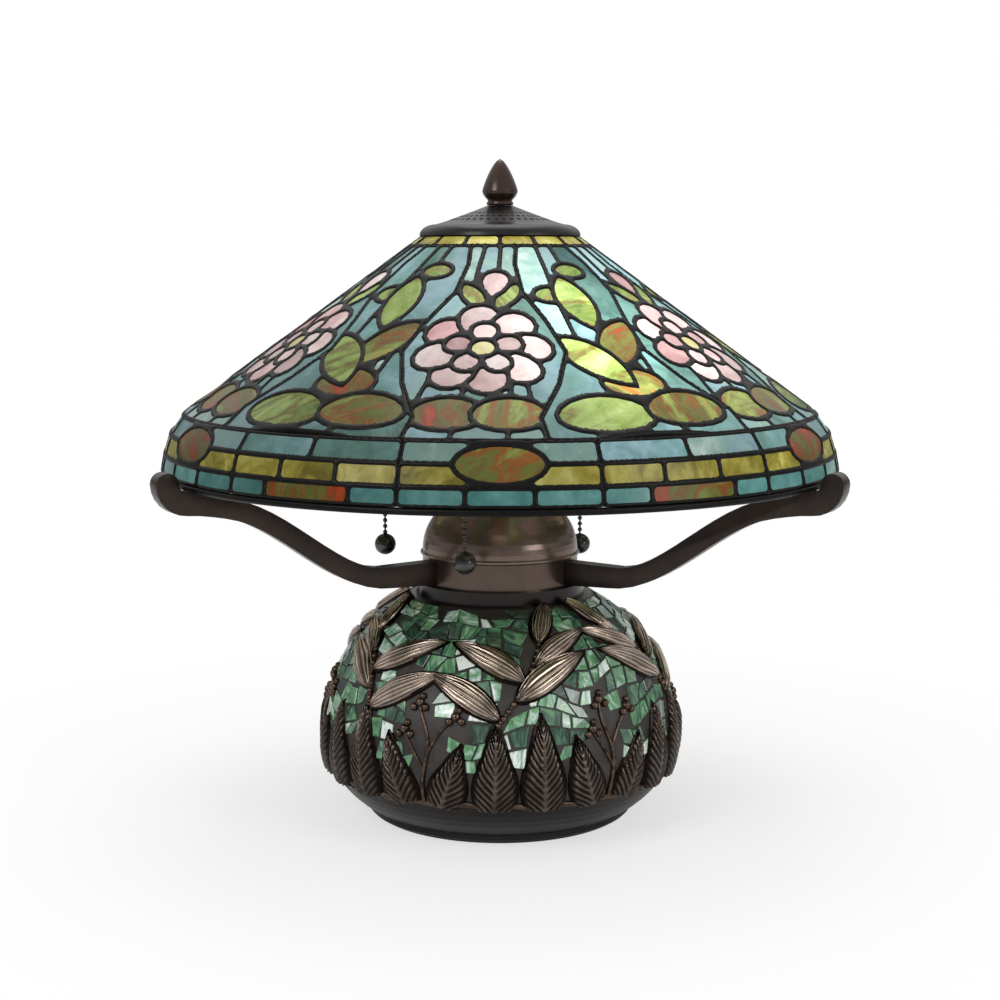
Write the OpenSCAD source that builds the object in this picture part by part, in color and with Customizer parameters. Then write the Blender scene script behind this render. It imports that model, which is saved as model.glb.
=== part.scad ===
// Table lamp: a leaded glass cone shade rests on three hooked arms above a squat mosaic pot.
// The pattern of the shade is drawn in plan, the lead lines are left between the drawn shapes,
// and the plan is pushed up through a thin cone to make the glass panes and the leading.

/* [Pot] */
// Thickness of the felt disc under the foot
felt_t = 1.5; // [1:0.5:3]
// Radius of the foot
foot_r = 92; // [80:1:105]
// Height of the foot rim
foot_h = 5; // [4:0.5:10]
// Largest radius of the pot
belly_r = 122; // [112:1:140]
// Height of the widest ring above the table
belly_z = 58; // [50:1:66]
// Radius of the shoulder, where the neck starts
shoulder_r = 62; // [60:1:80]
// Height of the shoulder above the table
shoulder_z = 152; // [140:1:165]
// Radius of the neck ring
neck_r = 58; // [57:0.5:60]
// Height of the neck ring
neck_h = 9; // [6:1:14]
// Wall of the cast pot
pot_wall = 4; // [3:0.5:7]
// Radius of the cord bushing's body
bushing_r = 5; // [4:0.5:7]

/* [Relief] */
// Bays round the pot, each with a sprig, its fronds and a patch of tiles
bays = 6; // [4:2:6]
// Length of the tallest frond
frond_l = 61; // [45:1:64]
// Width of that frond
frond_w = 29; // [18:1:30]
// Length of the longest leaf of a sprig
leaf_l = 58; // [40:1:60]
// Width of that leaf
leaf_w = 18; // [10:0.5:20]
// Thickness of the relief at the middle of a leaf
relief_t = 3; // [2:0.25:4]

/* [Mosaic] */
// Tiles side by side in a patch
tile_columns = 7; // [4:1:8]
// Tile rows in a patch
tile_rows = 7; // [3:1:7]
// Height of a tile row
tile_h = 11; // [8:0.5:13]
// Thickness of a tile
tile_t = 1.4; // [0.8:0.1:2.5]
// Grout line between tiles
grout_w = 1.6; // [1:0.1:3]

/* [Collar and dome] */
// Outer radius of the collar
collar_r = 53.5; // [51:0.5:56]
// Height of the collar
collar_h = 18; // [16:0.5:24]
// Wall of the collar
collar_wall = 4; // [3:0.5:6]
// Radius of the dome's rolled flange
flange_r = 55; // [54:0.5:60]
// Thickness of the flange
flange_t = 3; // [2:0.5:4]
// Height of the dome above its flange
dome_h = 47; // [40:1:52]
// Sheet of the dome
dome_t = 1.5; // [1:0.25:2.5]

/* [Arms] */
// Width of an arm seen from above
arm_w = 12; // [9:0.5:16]
// Depth of an arm at the collar
arm_root_d = 16; // [12:0.5:16]
// Depth of an arm on its slope
arm_mid_d = 13; // [9:0.5:15]
// Depth of an arm round its hook
hook_d = 15; // [11:0.5:17]
// Radius of the notch that holds the rim wire
notch_r = 5; // [4.5:0.5:7]
// Radius where an arm starts to rise
rise_in_r = 90; // [80:1:105]
// Radius where an arm stops rising
rise_out_r = 208; // [195:1:214]
// How far an arm dips just inside its hook
arm_dip = 4.5; // [0:0.5:8]
// Radius of the arm screws
screw_r = 2; // [1.5:0.25:2.5]

/* [Shade] */
// Radius of the shade at its rim
rim_r = 228.5; // [215:0.5:240]
// Height of the rim above the table
rim_z = 242; // [238:0.1:250]
// Height of the turquoise rim band
rim_band_h = 11.2; // [9:0.1:16]
// How far the rim band leans in
rim_band_in = 2.1; // [1:0.1:4]
// Height of the amber band
amber_band_h = 13; // [10:0.5:18]
// How far the amber band leans in
amber_band_in = 4.1; // [2:0.1:6]
// Height of the shoulder row
shoulder_row_h = 12.3; // [9:0.1:16]
// How far the shoulder row leans in
shoulder_row_in = 8.8; // [6:0.1:11]
// Height of the cone above the shoulder row
cone_h = 117.6; // [100:0.1:130]
// Radius of the hole at the top
top_r = 52; // [48:0.5:56]
// Width of the upper border, measured in plan
border_w = 9.5; // [7:0.5:13]
// Panes in the upper border
border_panes = 16; // [8:8:24]
// Thickness of the glass
glass_t = 3; // [2:0.25:4]
// How far the leading stands out of the glass
lead_proud = 0.8; // [0.4:0.1:1.5]
// Width of a lead line
lead_w = 2.9; // [2.2:0.1:4]
// Foil gap between a pane and the leading
foil_gap = 0.3; // [0.2:0.05:0.5]
// Radius of the rim wire
rim_wire_r = 2.2; // [1.5:0.1:3]

/* [Pattern] */
// Repeats of the blossom and leaf panels
repeats = 6; // [6:1:6]
// Radius, in plan, of the blossom's centre
blossom_r = 146; // [140:1:150]
// Radius of a blossom over its outer petals
blossom_size = 43; // [36:1:46]
// Outer petals of a blossom
outer_petals = 8; // [6:1:9]
// Inner petals of a blossom
inner_petals = 5; // [4:1:6]
// Swing of the line between two panels, in degrees
panel_swing = 4.5; // [2:0.5:6]

/* [Lights] */
// Height of the sockets' axes above the table
socket_z = 264; // [260:1:272]
// Distance from the lamp's axis to the back of a socket
socket_in = 44; // [40:1:48]
// Radius of a socket
socket_r = 18; // [16:0.5:20]
// Length of a socket
socket_len = 56; // [50:1:60]
// Radius of a bulb
bulb_r = 24; // [20:1:27]
// Length of the bulb glass
bulb_len = 62; // [50:1:66]
// Radius of a pull ball
ball_r = 7.4; // [6:0.2:9]
// Radius of a chain bead
bead_r = 1.6; // [1.2:0.1:2]
// Height of the front pull ball's centre
ball_z_front = 185.5; // [178:0.5:195]
// Height of the right pull ball's centre
ball_z_right = 176; // [174:0.5:195]
// Height of the left pull ball's centre
ball_z_left = 182; // [174:0.5:195]

/* [Cap and finial] */
// How far the heat cap's rim reaches past the shade's top ring
cap_over = 2.5; // [1:0.5:8]
// Height of the heat cap
cap_h = 20; // [16:0.5:26]
// Sheet of the heat cap
cap_t = 1.2; // [0.8:0.1:2]
// Vent holes in one row of the heat cap
vents = 14; // [12:1:24]
// Largest radius of the finial
finial_r = 12; // [10:0.5:16]
// Height of the finial
finial_h = 31; // [24:0.5:40]

/* [Hidden] */
$fn = 96;

// Azimuths, with the viewer at minus Y
arm_az = [210, 330, 90];
socket_az = [270, 30, 150];
// Side of each socket on which its chain comes out
pull_side = [-1, 1, 1];
ball_z = [ball_z_front, ball_z_right, ball_z_left];

// Clearances, and the solder seam between two sections of leading
fit = 0.15;
seat_gap = 0.3;
seam = 0.2;

// Heights that stack up from the table
foot_top = felt_t + foot_h;
pot_top = shoulder_z + neck_h;
collar_top = pot_top + collar_h;
dome_z = collar_top + flange_t;
dome_top = dome_z + dome_h;
arm_root_z = pot_top + collar_h / 2;

// Pipe and its fasteners
pipe_r = 5;
pipe_bore_r = 3.4;
nut_r = 9;
nut_h = 5;
washer_t = 1.5;
web_t = 3;
web_z = foot_top + 9;
pipe_foot_z = web_z - washer_t - nut_h;
hub_r = 17;
hub_h = 24;
hub_room_r = 12;
hub_room_h = 13;
pipe_end_z = socket_z - hub_room_h / 2;

// Sockets, along their own axes
nipple_r = 6.5;
cap_len = 14;
shell_t = 1.2;
core_r = socket_r - shell_t - fit;
screw_shell_r = 13.6;
bulb_base_r = 13.1;
bulb_base_len = 24;
core_floor = 20;
bulb_in = socket_in + cap_len + core_floor;
bulb_neck_s = bulb_in + bulb_base_len;
socket_end = socket_in + socket_len;
pull_s = 80;
guide_r = 4.2;
guide_bore_r = bead_r + 0.5;
barrel_r = 3.2;
pull_t = socket_r + guide_r + 0.6;
guide_up = 7;
guide_down = 13;
bead_pitch = 2.6 * bead_r;

// Curves of the pot: an ellipse above the belly and a fuller curve below it
upper_reach = (shoulder_z - belly_z) / sqrt(1 - pow(shoulder_r / belly_r, 2));
lower_power = 2.5;
lower_reach = (belly_z - foot_top) / pow(1 - pow((foot_r + 1) / belly_r, 2), 1 / lower_power);
function pot_r(z) = z > belly_z
    ? belly_r * sqrt(1 - pow((z - belly_z) / upper_reach, 2))
    : belly_r * sqrt(1 - pow((belly_z - z) / lower_reach, lower_power));
// How far the wall's normal leans up from level
function wall_tilt(z) = atan(pot_r(z - 0.5) - pot_r(z + 0.5));
pot_steps = 30;
pot_zs = [for (i = [0:pot_steps]) foot_top + (shoulder_z - foot_top) * i / pot_steps];

// Path of the shade's outer glass face, from the top hole down to the rim
amber_r = rim_r - rim_band_in;
amber_z = rim_z + rim_band_h;
row_r = amber_r - amber_band_in;
row_z = amber_z + amber_band_h;
crease_r = row_r - shoulder_row_in;
crease_z = row_z + shoulder_row_h;
top_z = crease_z + cone_h;
border_r = top_r + border_w;
cone_run = crease_r - top_r;
border_z = top_z - cone_h * border_w / cone_run;
shade_path = [[top_r, top_z], [border_r, border_z], [crease_r, crease_z],
    [row_r, row_z], [amber_r, amber_z], [rim_r, rim_z]];
// Foreshortening of the cone seen in plan
squeeze = cone_run / norm([cone_run, cone_h]);

// Hook of an arm, round the rim wire
rim_wire_c = shade_path[5] - leg_normal(4) * glass_t / 2 + leg_run(4) * (rim_wire_r + seam);
rim_bottom = rim_wire_c[1] - rim_wire_r;
hook_cz = rim_bottom - seat_gap + notch_r;
hook_mid = notch_r + hook_d / 2;
hook_cr = rim_wire_c[0] + 1;
arm_out_z = hook_cz - hook_mid;

// Cap and finial
cap_r = top_r + cap_over;
cap_z = top_z - (cap_r - top_r) * cone_h / cone_run + lead_proud + 1.2;
cap_top = cap_z + cap_h;
stud_r = 3;

function unit(v) = v / norm(v);
function polar(r, a) = [r * cos(a), r * sin(a)];
// Angle that covers a short width at a radius
function turn(width, r) = width / r * 180 / PI;
function smooth_step(t) = let (u = min(1, max(0, t))) u * u * (3 - 2 * u);
// Outward normal of a leg of the shade's path
function leg_normal(i) = let (d = leg_run(i)) [-d[1], d[0]];
// Corner of the path moved out by t, mitred where two legs meet
function shifted(i, t) =
    let (last = len(shade_path) - 1)
    let (a = leg_normal(max(i - 1, 0)), b = leg_normal(min(i, last - 1)))
    shade_path[i] + (a + b) * t / (1 + a * b);
function leg_run(i) = unit(shade_path[i + 1] - shade_path[i]);
// Section of the shade's wall from corner i0 to corner i1, with half a seam left at each end
function wall_section(i0, i1, t_out, t_in) = concat(
    [for (i = [i0:i1]) shifted(i, t_out) + seam_shift(i, i0, i1)],
    [for (i = [i1:-1:i0]) shifted(i, -t_in) + seam_shift(i, i0, i1)]);
function seam_shift(i, i0, i1) = i == i0 ? leg_run(i0) * seam / 2
    : i == i1 ? -leg_run(i1 - 1) * seam / 2
    : [0, 0];
// Section of one leg of the wall, drawn in at both ends
function leg_section(i, inset, t_out, t_in) =
    let (n = leg_normal(i), d = leg_run(i))
    let (a = shade_path[i] + d * inset, b = shade_path[i + 1] - d * inset)
    [a + n * t_out, b + n * t_out, b - n * t_in, a - n * t_in];

module wedge(section, from, to) {
    rotate([0, 0, from])
        rotate_extrude(angle = to - from)
            polygon(section);
}

module tube(r_out, r_in, h) {
    difference() {
        cylinder(r = r_out, h = h);
        translate([0, 0, -1])
            cylinder(r = r_in, h = h + 2);
    }
}

// Places a part that is drawn along X on the axis of a socket
module on_socket(k) {
    translate([0, 0, socket_z])
        rotate([0, 0, socket_az[k]])
            children();
}

// A revolved solid about the X axis, from a profile of [distance, radius] points
module turned(profile) {
    rotate([0, 90, 0])
        rotate_extrude()
            polygon([for (p = profile) [p[1], p[0]]]);
}

// Base

module felt_pad() {
    color("#2c2a28")
        cylinder(r = foot_r - 4, h = felt_t);
}

// A pan whose rim stands on the felt and whose web carries the pipe inside the pot
module foot_plate() {
    rim_in = foot_r * 0.87;
    web_r = foot_r * 0.72;
    color("#1d1a18")
        rotate_extrude()
            polygon([[rim_in, felt_t], [foot_r - 1.5, felt_t], [foot_r, felt_t + 1.5],
                [foot_r, foot_top], [rim_in - 3, foot_top], [web_r, web_z + web_t],
                [pipe_r + fit, web_z + web_t], [pipe_r + fit, web_z], [web_r - 2, web_z]]);
}

module pot() {
    inner_foot_r = foot_r - 10;
    color("#3a3430")
        difference() {
            rotate_extrude()
                polygon(concat(
                    [for (z = pot_zs) [pot_r(z), z]],
                    [[neck_r, shoulder_z], [neck_r, pot_top], [collar_r - collar_wall - 3, pot_top]],
                    [[collar_r - collar_wall - 3, shoulder_z - 1]],
                    [for (i = [pot_steps - 1:-1:1]) [pot_r(pot_zs[i]) - pot_wall, pot_zs[i]]],
                    [[inner_foot_r, foot_top]]));
            translate([0, 0, bushing_z()])
                rotate([-90, 0, 0])
                    cylinder(r = bushing_r, h = belly_r + 10);
        }
}

function bushing_z() = foot_top + 16;

// Leaves of the relief, as [azimuth, height, lean, length, width, is a frond]
bay = 360 / bays;
bay_az = 276;
frond_foot_z = max(foot_top + 0.53 * (belly_z - foot_top), bushing_z() + bushing_r + 4);
// Fronds of a bay, as [side, share of the length, share of the width, lean]
fronds = [[-15.5, 0.92, 1, -1], [15, 1, 1, 2], [-44, 0.69, 0.9, -17], [43, 0.75, 0.9, 15]];
// Leaves of a sprig, as [way up the stem, side of the stem, share of the length, share of the width]
leaves = [[0.1, 1, 0.93, 0.94], [0.3, -1, 1, 1], [0.52, 1, 0.9, 0.94], [0.7, -1, 0.79, 0.83],
    [0.9, 0, 0.5, 0.7]];
stem_low = belly_z + 0.29 * (shoulder_z - belly_z);
stem_rise = 0.52 * (shoulder_z - belly_z);
leaf_lean = 58;
function frond_leaf(f, a) =
    let (l = f[1] * frond_l, z = frond_foot_z + 0.47 * l)
    [a + turn(f[0] * bay / 60, pot_r(z)), z, f[3], l, f[2] * frond_w, true];
function sprig_leaf(v, a, hand) =
    let (l = v[2] * leaf_l, lean = v[1] * hand * leaf_lean - (v[1] == 0 ? hand * 12 : 0),
        stem_z = stem_low + stem_rise * v[0], up = (l / 2 + 1) * cos(lean),
        z = stem_z + up * cos(wall_tilt(stem_z)) * 0.93,
        side = hand * 16 * (2 * v[0] - 1) - (l / 2 + 1) * sin(lean))
    [a + turn(side, pot_r(z)), z, lean, l, v[3] * leaf_w, false];
relief_leaves = [for (i = [0:bays - 1]) let (a = bay_az + i * bay, hand = i % 2 == 0 ? 1 : -1)
    each concat([for (f = fronds) frond_leaf(f, a)], [for (v = leaves) sprig_leaf(v, a, hand)])];

// Point of the wall beside a leaf's middle, as [height off the leaf's own plane, way along the leaf]
function near_wall(leaf, s, b) =
    let (z = leaf[1], lean = leaf[2], tilt = wall_tilt(z),
        y = b * cos(lean) - s * sin(lean),
        h = z + (b * sin(lean) + s * cos(lean)) * cos(tilt),
        x = sqrt(pow(pot_r(h), 2) - y * y) - pot_r(z),
        up = (h - z) * cos(tilt) - x * sin(tilt))
    [x * cos(tilt) + (h - z) * sin(tilt), up * cos(lean) - y * sin(lean)];
// Lift that keeps a leaf's flat spans clear of the wall
function leaf_lift(leaf, ways) =
    seat_gap + max([for (i = [0:len(ways) - 2], t = [0:0.25:1], b = [-0.5, 0, 0.5])
        let (p = near_wall(leaf, ways[i], 0)[0], q = near_wall(leaf, ways[i + 1], 0)[0],
            s = ways[i] + (ways[i + 1] - ways[i]) * t, e = 1 - pow(2 * s / (leaf[3] + 3), 2))
        near_wall(leaf, s, b * leaf[4] * max(0, e))[0] - p - (q - p) * t]);

// One leaf: a strip that bends with the wall, cut to the leaf's outline
module relief_leaf(leaf) {
    l = leaf[3];
    w = leaf[4];
    spans = leaf[5] ? 4 : 3;
    ways = [for (i = [0:spans]) (l + 2) * (i / spans - 0.5)];
    lift = leaf_lift(leaf, ways);
    under = [for (s = ways) near_wall(leaf, s, 0) + [lift, 0]];
    over = [for (i = [spans:-1:0]) under[i] + [relief_t * (1 - 2 * pow(i / spans - 0.5, 2)), 0]];
    outline = leaf[5]
        ? [[-0.32 * w, -l / 2], [0.32 * w, -l / 2], [w / 2, -l * 0.08], [0, l / 2], [-w / 2, -l * 0.08]]
        : [[0, -l / 2], [0.4 * w, -l * 0.25], [w / 2, l * 0.05], [0, l / 2], [-w / 2, l * 0.05],
            [-0.4 * w, -l * 0.25]];
    rotate([0, 0, leaf[0]])
        translate([pot_r(leaf[1]), 0, leaf[1]])
            rotate([0, -wall_tilt(leaf[1]), 0])
                rotate([leaf[2], 0, 0])
                    intersection() {
                        rotate([90, 0, 0])
                            linear_extrude(w + 2, center = true)
                                polygon(concat(under, over));
                        rotate([90, 0, 90])
                            linear_extrude(80, center = true)
                                polygon(outline);
                    }
}

// Fronds round the foot and leafy sprigs above them, cast apart and set on the pot
module pot_relief() {
    color("#4a4038")
        for (leaf = relief_leaves)
            relief_leaf(leaf);
}

// True where a point of the wall comes under a leaf, or nearer than this reach to one
function under_leaf(a, z, reach) =
    max([for (leaf = relief_leaves)
        let (off = (a - leaf[0] + 900) % 360 - 180, y = off * PI / 180 * pot_r(z),
            up = (z - leaf[1]) / cos(wall_tilt(leaf[1])),
            s = abs(up * cos(leaf[2]) - y * sin(leaf[2])) - reach,
            b = abs(y * cos(leaf[2]) + up * sin(leaf[2])) - reach)
        s < leaf[3] / 2 && b < leaf[4] / 2 * (1 - pow(max(0, 2 * s / leaf[3]), 2)) ? 1 : 0]) == 1;

// Blocks of glass set on the pot between the sprigs, in courses that break joint
module mosaic_tiles() {
    tile_angle = 0.8 * bay / tile_columns;
    low_z = belly_z + 8;
    glue = 0.1;
    reach = 1.2;
    color("#5fae7c")
        for (p = [0:bays - 1], k = [0:tile_rows - 1], c = [0:tile_columns - 1 - k % 2]) {
            z0 = low_z + k * tile_h + grout_w / 2;
            z1 = low_z + (k + 1) * tile_h - grout_w / 2;
            n = unit([z1 - z0, pot_r(z0) - pot_r(z1)]);
            lift = glue + tile_bulge(z0, z1);
            gap_angle = turn(grout_w, pot_r(z0));
            a = bay_az + bay / 2 + bay * p + (c - (tile_columns - k % 2) / 2) * tile_angle;
            from = a + gap_angle / 2;
            to = a + tile_angle - gap_angle / 2;
            hidden = [for (u = [0:0.125:1], v = [0:0.25:1])
                if (under_leaf(from + u * (to - from), z0 + v * (z1 - z0), reach)) 1];
            if (z1 < shoulder_z - 4 && len(hidden) == 0)
                wedge([[pot_r(z0), z0] + n * lift, [pot_r(z0), z0] + n * (lift + tile_t),
                    [pot_r(z1), z1] + n * (lift + tile_t), [pot_r(z1), z1] + n * lift],
                    from, to);
        }
}

// How far the pot bulges past the chord between two heights
function tile_bulge(z0, z1) =
    let (a = [pot_r(z0), z0], b = [pot_r(z1), z1], n = unit([z1 - z0, pot_r(z0) - pot_r(z1)]))
    max([for (t = [0:0.125:1]) let (z = z0 + (z1 - z0) * t) ([pot_r(z), z] - a) * n]);

// Grommet in the back of the pot for the supply lead
module cord_bushing() {
    z = bushing_z();
    flange_w = 2;
    seat_r = pot_r(z + bushing_r + flange_w) + seat_gap;
    color("#141414")
        translate([0, 0, z])
            rotate([-90, 0, 0])
                difference() {
                    union() {
                        translate([0, 0, pot_r(z - bushing_r) - pot_wall - 4])
                            cylinder(r = bushing_r - fit, h = seat_r - pot_r(z - bushing_r) + pot_wall + 5);
                        translate([0, 0, seat_r])
                            cylinder(r = bushing_r + flange_w, h = 2.5);
                    }
                    translate([0, 0, pot_r(z) - 30])
                        cylinder(r = bushing_r - 2, h = 60);
                }
}

module collar() {
    color("#3b2f28")
        difference() {
            translate([0, 0, pot_top])
                tube(collar_r, collar_r - collar_wall, collar_h);
            for (a = arm_az)
                rotate([0, 0, a])
                    translate([0, 0, arm_root_z])
                        rotate([0, 90, 0])
                            cylinder(r = screw_r + fit, h = collar_r + 10);
        }
}

// Bell-shaped cover with a rolled flange, open at the top for the pipe
function dome_outer(u) = (flange_r - 1.5) * (1 - pow(u / (dome_h + 9), 2.2));
module dome_cap() {
    steps = 14;
    us = [for (i = [0:steps]) dome_h * i / steps];
    color("#43352c")
        difference() {
            rotate_extrude()
                polygon(concat(
                    [[flange_r - 4, collar_top], [flange_r - 1, collar_top], [flange_r, collar_top + 1],
                        [flange_r, dome_z - 1], [flange_r - 1, dome_z]],
                    [for (u = us) [dome_outer(u), dome_z + u]],
                    [[pipe_r + fit, dome_top], [pipe_r + fit, dome_top - dome_t]],
                    [for (i = [steps:-1:1]) [dome_outer(us[i]) - dome_t, dome_z + us[i] - dome_t]]));
        }
}

// Centre line of an arm from the collar out to the bottom of its hook
dip_run = 34;
function arm_line(r) = [r, arm_root_z
    + (arm_out_z - arm_dip - arm_root_z) * smooth_step((r - rise_in_r) / (rise_out_r - rise_in_r))
    + arm_dip * smooth_step((r - hook_cr + dip_run) / dip_run)];
arm_swell_r = rise_out_r - 20;
function arm_half(r) = (r < arm_swell_r
    ? arm_root_d + (arm_mid_d - arm_root_d) * smooth_step((r - rise_in_r + 45) / 70)
    : arm_mid_d + (hook_d - arm_mid_d) * smooth_step((r - arm_swell_r) / (hook_cr - arm_swell_r))) / 2;
function arm_normal(r) = let (d = unit(arm_line(r + 0.5) - arm_line(r - 0.5))) [-d[1], d[0]];

module arm(k) {
    steps = 20;
    root = collar_r - 4;
    rs = [for (i = [0:steps]) root + (hook_cr - root) * i / steps];
    hook_c = [hook_cr, hook_cz];
    hook_as = [for (a = [-75:15:0]) a];
    tip = hook_c + [hook_mid, 0];
    color("#332b26")
        rotate([0, 0, arm_az[k]])
            difference() {
                rotate([90, 0, 0])
                    translate([0, 0, -arm_w / 2])
                        linear_extrude(arm_w)
                            polygon(concat(
                                [for (r = rs) arm_line(r) - arm_normal(r) * arm_half(r)],
                                [for (a = hook_as) hook_c + polar(hook_mid + hook_d / 2, a)],
                                [for (a = [20:20:160]) tip + polar(hook_d / 2, a)],
                                [for (i = [len(hook_as) - 1:-1:0]) hook_c + polar(notch_r, hook_as[i])],
                                [for (i = [steps:-1:0]) let (r = rs[i])
                                    arm_line(r) + arm_normal(r) * arm_half(r)]));
                translate([0, 0, pot_top - 5])
                    cylinder(r = collar_r + fit, h = collar_h + 10);
                translate([0, 0, arm_root_z])
                    rotate([0, 90, 0])
                        cylinder(r = screw_r + fit, h = collar_r + screw_reach + 1);
            }
}

screw_reach = 12;
module arm_screws() {
    head_t = 3;
    face = collar_r - collar_wall;
    color("#8a7a55")
        for (a = arm_az)
            rotate([0, 0, a])
                translate([0, 0, arm_root_z])
                    rotate([0, 90, 0]) {
                        translate([0, 0, face - head_t - 0.6])
                            cylinder(r = screw_r * 2, h = head_t);
                        translate([0, 0, face - head_t])
                            cylinder(r = screw_r, h = collar_wall + head_t + screw_reach);
                    }
}

module centre_pipe() {
    color("#6e5a34")
        translate([0, 0, pipe_foot_z - 2])
            tube(pipe_r, pipe_bore_r, pipe_end_z - pipe_foot_z + 2);
}

module foot_washer() {
    color("#8a7a55")
        translate([0, 0, web_z - washer_t])
            tube(nut_r + 2, pipe_r + fit, washer_t);
}

module hex_nut(z) {
    translate([0, 0, z])
        difference() {
            cylinder(r = nut_r, h = nut_h, $fn = 6);
            translate([0, 0, -1])
                cylinder(r = pipe_r + fit, h = nut_h + 2);
        }
}

module foot_nut() {
    color("#8a7a55")
        hex_nut(pipe_foot_z);
}

module dome_nut() {
    color("#8a7a55")
        hex_nut(dome_top);
}

// Lights

// Hub with three hollow nipples, screwed on the top of the pipe
module cluster_body() {
    color("#6e5a34")
        difference() {
            union() {
                translate([0, 0, socket_z])
                    rotate_extrude()
                        polygon([[0, -hub_h / 2], [hub_r - 6, -hub_h / 2], [hub_r, -hub_h / 2 + 6],
                            [hub_r, hub_h / 2 - 6], [hub_r - 8, hub_h / 2], [0, hub_h / 2 + 2]]);
                for (k = [0:2])
                    on_socket(k)
                        rotate([0, 90, 0])
                            cylinder(r = nipple_r, h = socket_in + 4);
            }
            translate([0, 0, socket_z - hub_h / 2 - 1])
                cylinder(r = pipe_r + fit, h = hub_h / 2 + 1);
            translate([0, 0, socket_z - hub_room_h / 2])
                cylinder(r = hub_room_r, h = hub_room_h);
            for (k = [0:2])
                on_socket(k)
                    translate([hub_room_r - 3, 0, 0])
                        rotate([0, 90, 0])
                            cylinder(r = nipple_r - 2.5, h = socket_in + 10);
        }
}

module socket_cap(k) {
    s0 = socket_in;
    s1 = socket_in + cap_len;
    color("#7d6535")
        on_socket(k)
            turned([[s0, nipple_r + fit], [s0, nipple_r + 3], [s0 + 4, socket_r - 4], [s0 + 9, socket_r],
                [s1 - fit, socket_r], [s1 - fit, socket_r - shell_t], [s0 + 9.5, socket_r - shell_t],
                [s0 + 5, socket_r - 5.5], [s0 + 2, nipple_r + 2.5], [s0 + 2, nipple_r + fit]]);
}

module socket_shell(k) {
    s1 = socket_in + cap_len;
    color("#7d6535")
        on_socket(k)
            difference() {
                turned([[s1, socket_r - shell_t], [s1, socket_r], [socket_end - 4, socket_r],
                    [socket_end, socket_r + 1], [socket_end, socket_r + 1 - shell_t],
                    [socket_end - 4, socket_r - shell_t]]);
                translate([pull_s, 0, 0])
                    rotate([-90 * pull_side[k], 0, 0])
                        cylinder(r = barrel_r + fit, h = socket_r + 5);
            }
}

// Insulating switch body with the screw shell's bore in its front
module socket_core(k) {
    s0 = socket_in + cap_len - 6;
    color("#e8e0cf")
        on_socket(k)
            difference() {
                turned([[s0, 0], [s0, core_r - 3], [s0 + 6, core_r], [socket_end - 2, core_r],
                    [socket_end - 2, screw_shell_r], [bulb_in - 1, screw_shell_r], [bulb_in - 1, 0]]);
                translate([pull_s, 0, 0])
                    rotate([-90 * pull_side[k], 0, 0])
                        translate([0, 0, screw_shell_r + 1.2])
                            cylinder(r = barrel_r + fit, h = socket_r);
            }
}

// Short barrel out of the socket's side that ends in a nozzle for the chain
module chain_guide(k) {
    color("#7d6535")
        on_socket(k)
            translate([pull_s, 0, 0])
                difference() {
                    union() {
                        rotate([-90 * pull_side[k], 0, 0])
                            translate([0, 0, screw_shell_r + 1.5])
                                cylinder(r = barrel_r, h = pull_t - screw_shell_r - 1.5);
                        translate([0, pull_side[k] * pull_t, 0]) {
                            translate([0, 0, 4 - guide_down])
                                cylinder(r = guide_r, h = guide_up + guide_down - 4);
                            translate([0, 0, -guide_down])
                                cylinder(r1 = guide_r + 1.4, r2 = guide_r, h = 4);
                        }
                    }
                    translate([0, pull_side[k] * pull_t, -guide_down - 1])
                        cylinder(r = guide_bore_r, h = guide_up + guide_down - 1);
                }
}

module bulb_base(k) {
    color("#b9a36a")
        on_socket(k)
            turned([[bulb_in, 0], [bulb_in, 4.5], [bulb_in + 2, 5], [bulb_in + 4, bulb_base_r - 2],
                [bulb_in + 6, bulb_base_r], [bulb_neck_s, bulb_base_r], [bulb_neck_s, bulb_base_r - 1],
                [bulb_in + 6, bulb_base_r - 1], [bulb_in + 6, 0]]);
}

// Pear-shaped envelope: a neck that opens into a ball
function bulb_profile(inset) =
    let (ball_s = bulb_neck_s + bulb_len - bulb_r, neck = bulb_base_r - 1)
    concat(
        [for (t = [0:0.2:0.8]) [bulb_neck_s + fit + (ball_s - bulb_neck_s) * t,
            neck - inset + (bulb_r - neck) * smooth_step(t)]],
        [for (a = [90:-15:0]) [ball_s + (bulb_r - inset) * cos(a), (bulb_r - inset) * sin(a)]]);
module bulb_glass(k) {
    wall = 1;
    outer = bulb_profile(0);
    inner = bulb_profile(wall);
    color("#fff3d8")
        on_socket(k)
            turned(concat(outer, [for (i = [len(inner) - 1:-1:0]) inner[i]]));
}

function pull_place(k) = concat(polar(pull_s, socket_az[k])
    + polar(pull_side[k] * pull_t, socket_az[k] + 90), [0]);

// Beads on a wire, from inside the guide down into the ball
module pull_chain(k) {
    wire_r = bead_r * 0.4;
    high = socket_z + guide_up - 4 - bead_r;
    low = ball_z[k] + ball_r - 2 * bead_r;
    beads = floor((high - low) / bead_pitch);
    color("#3d3a38")
        translate(pull_place(k))
            rotate_extrude()
                intersection() {
                    union() {
                        for (i = [0:beads])
                            translate([0, high - i * bead_pitch])
                                circle(r = bead_r, $fn = 48);
                        translate([0, high - beads * bead_pitch])
                            square([wire_r, beads * bead_pitch]);
                    }
                    translate([0, low - 20])
                        square([10, high - low + 40]);
                }
}

module pull_ball(k) {
    color("#2a2827")
        translate(pull_place(k) + [0, 0, ball_z[k]])
            difference() {
                sphere(r = ball_r);
                cylinder(r = bead_r + fit, h = ball_r + 1);
            }
}

// Shade

module wall(i0, i1, t_out, t_in) {
    rotate_extrude()
        polygon(wall_section(i0, i1, t_out, t_in));
}

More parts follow.
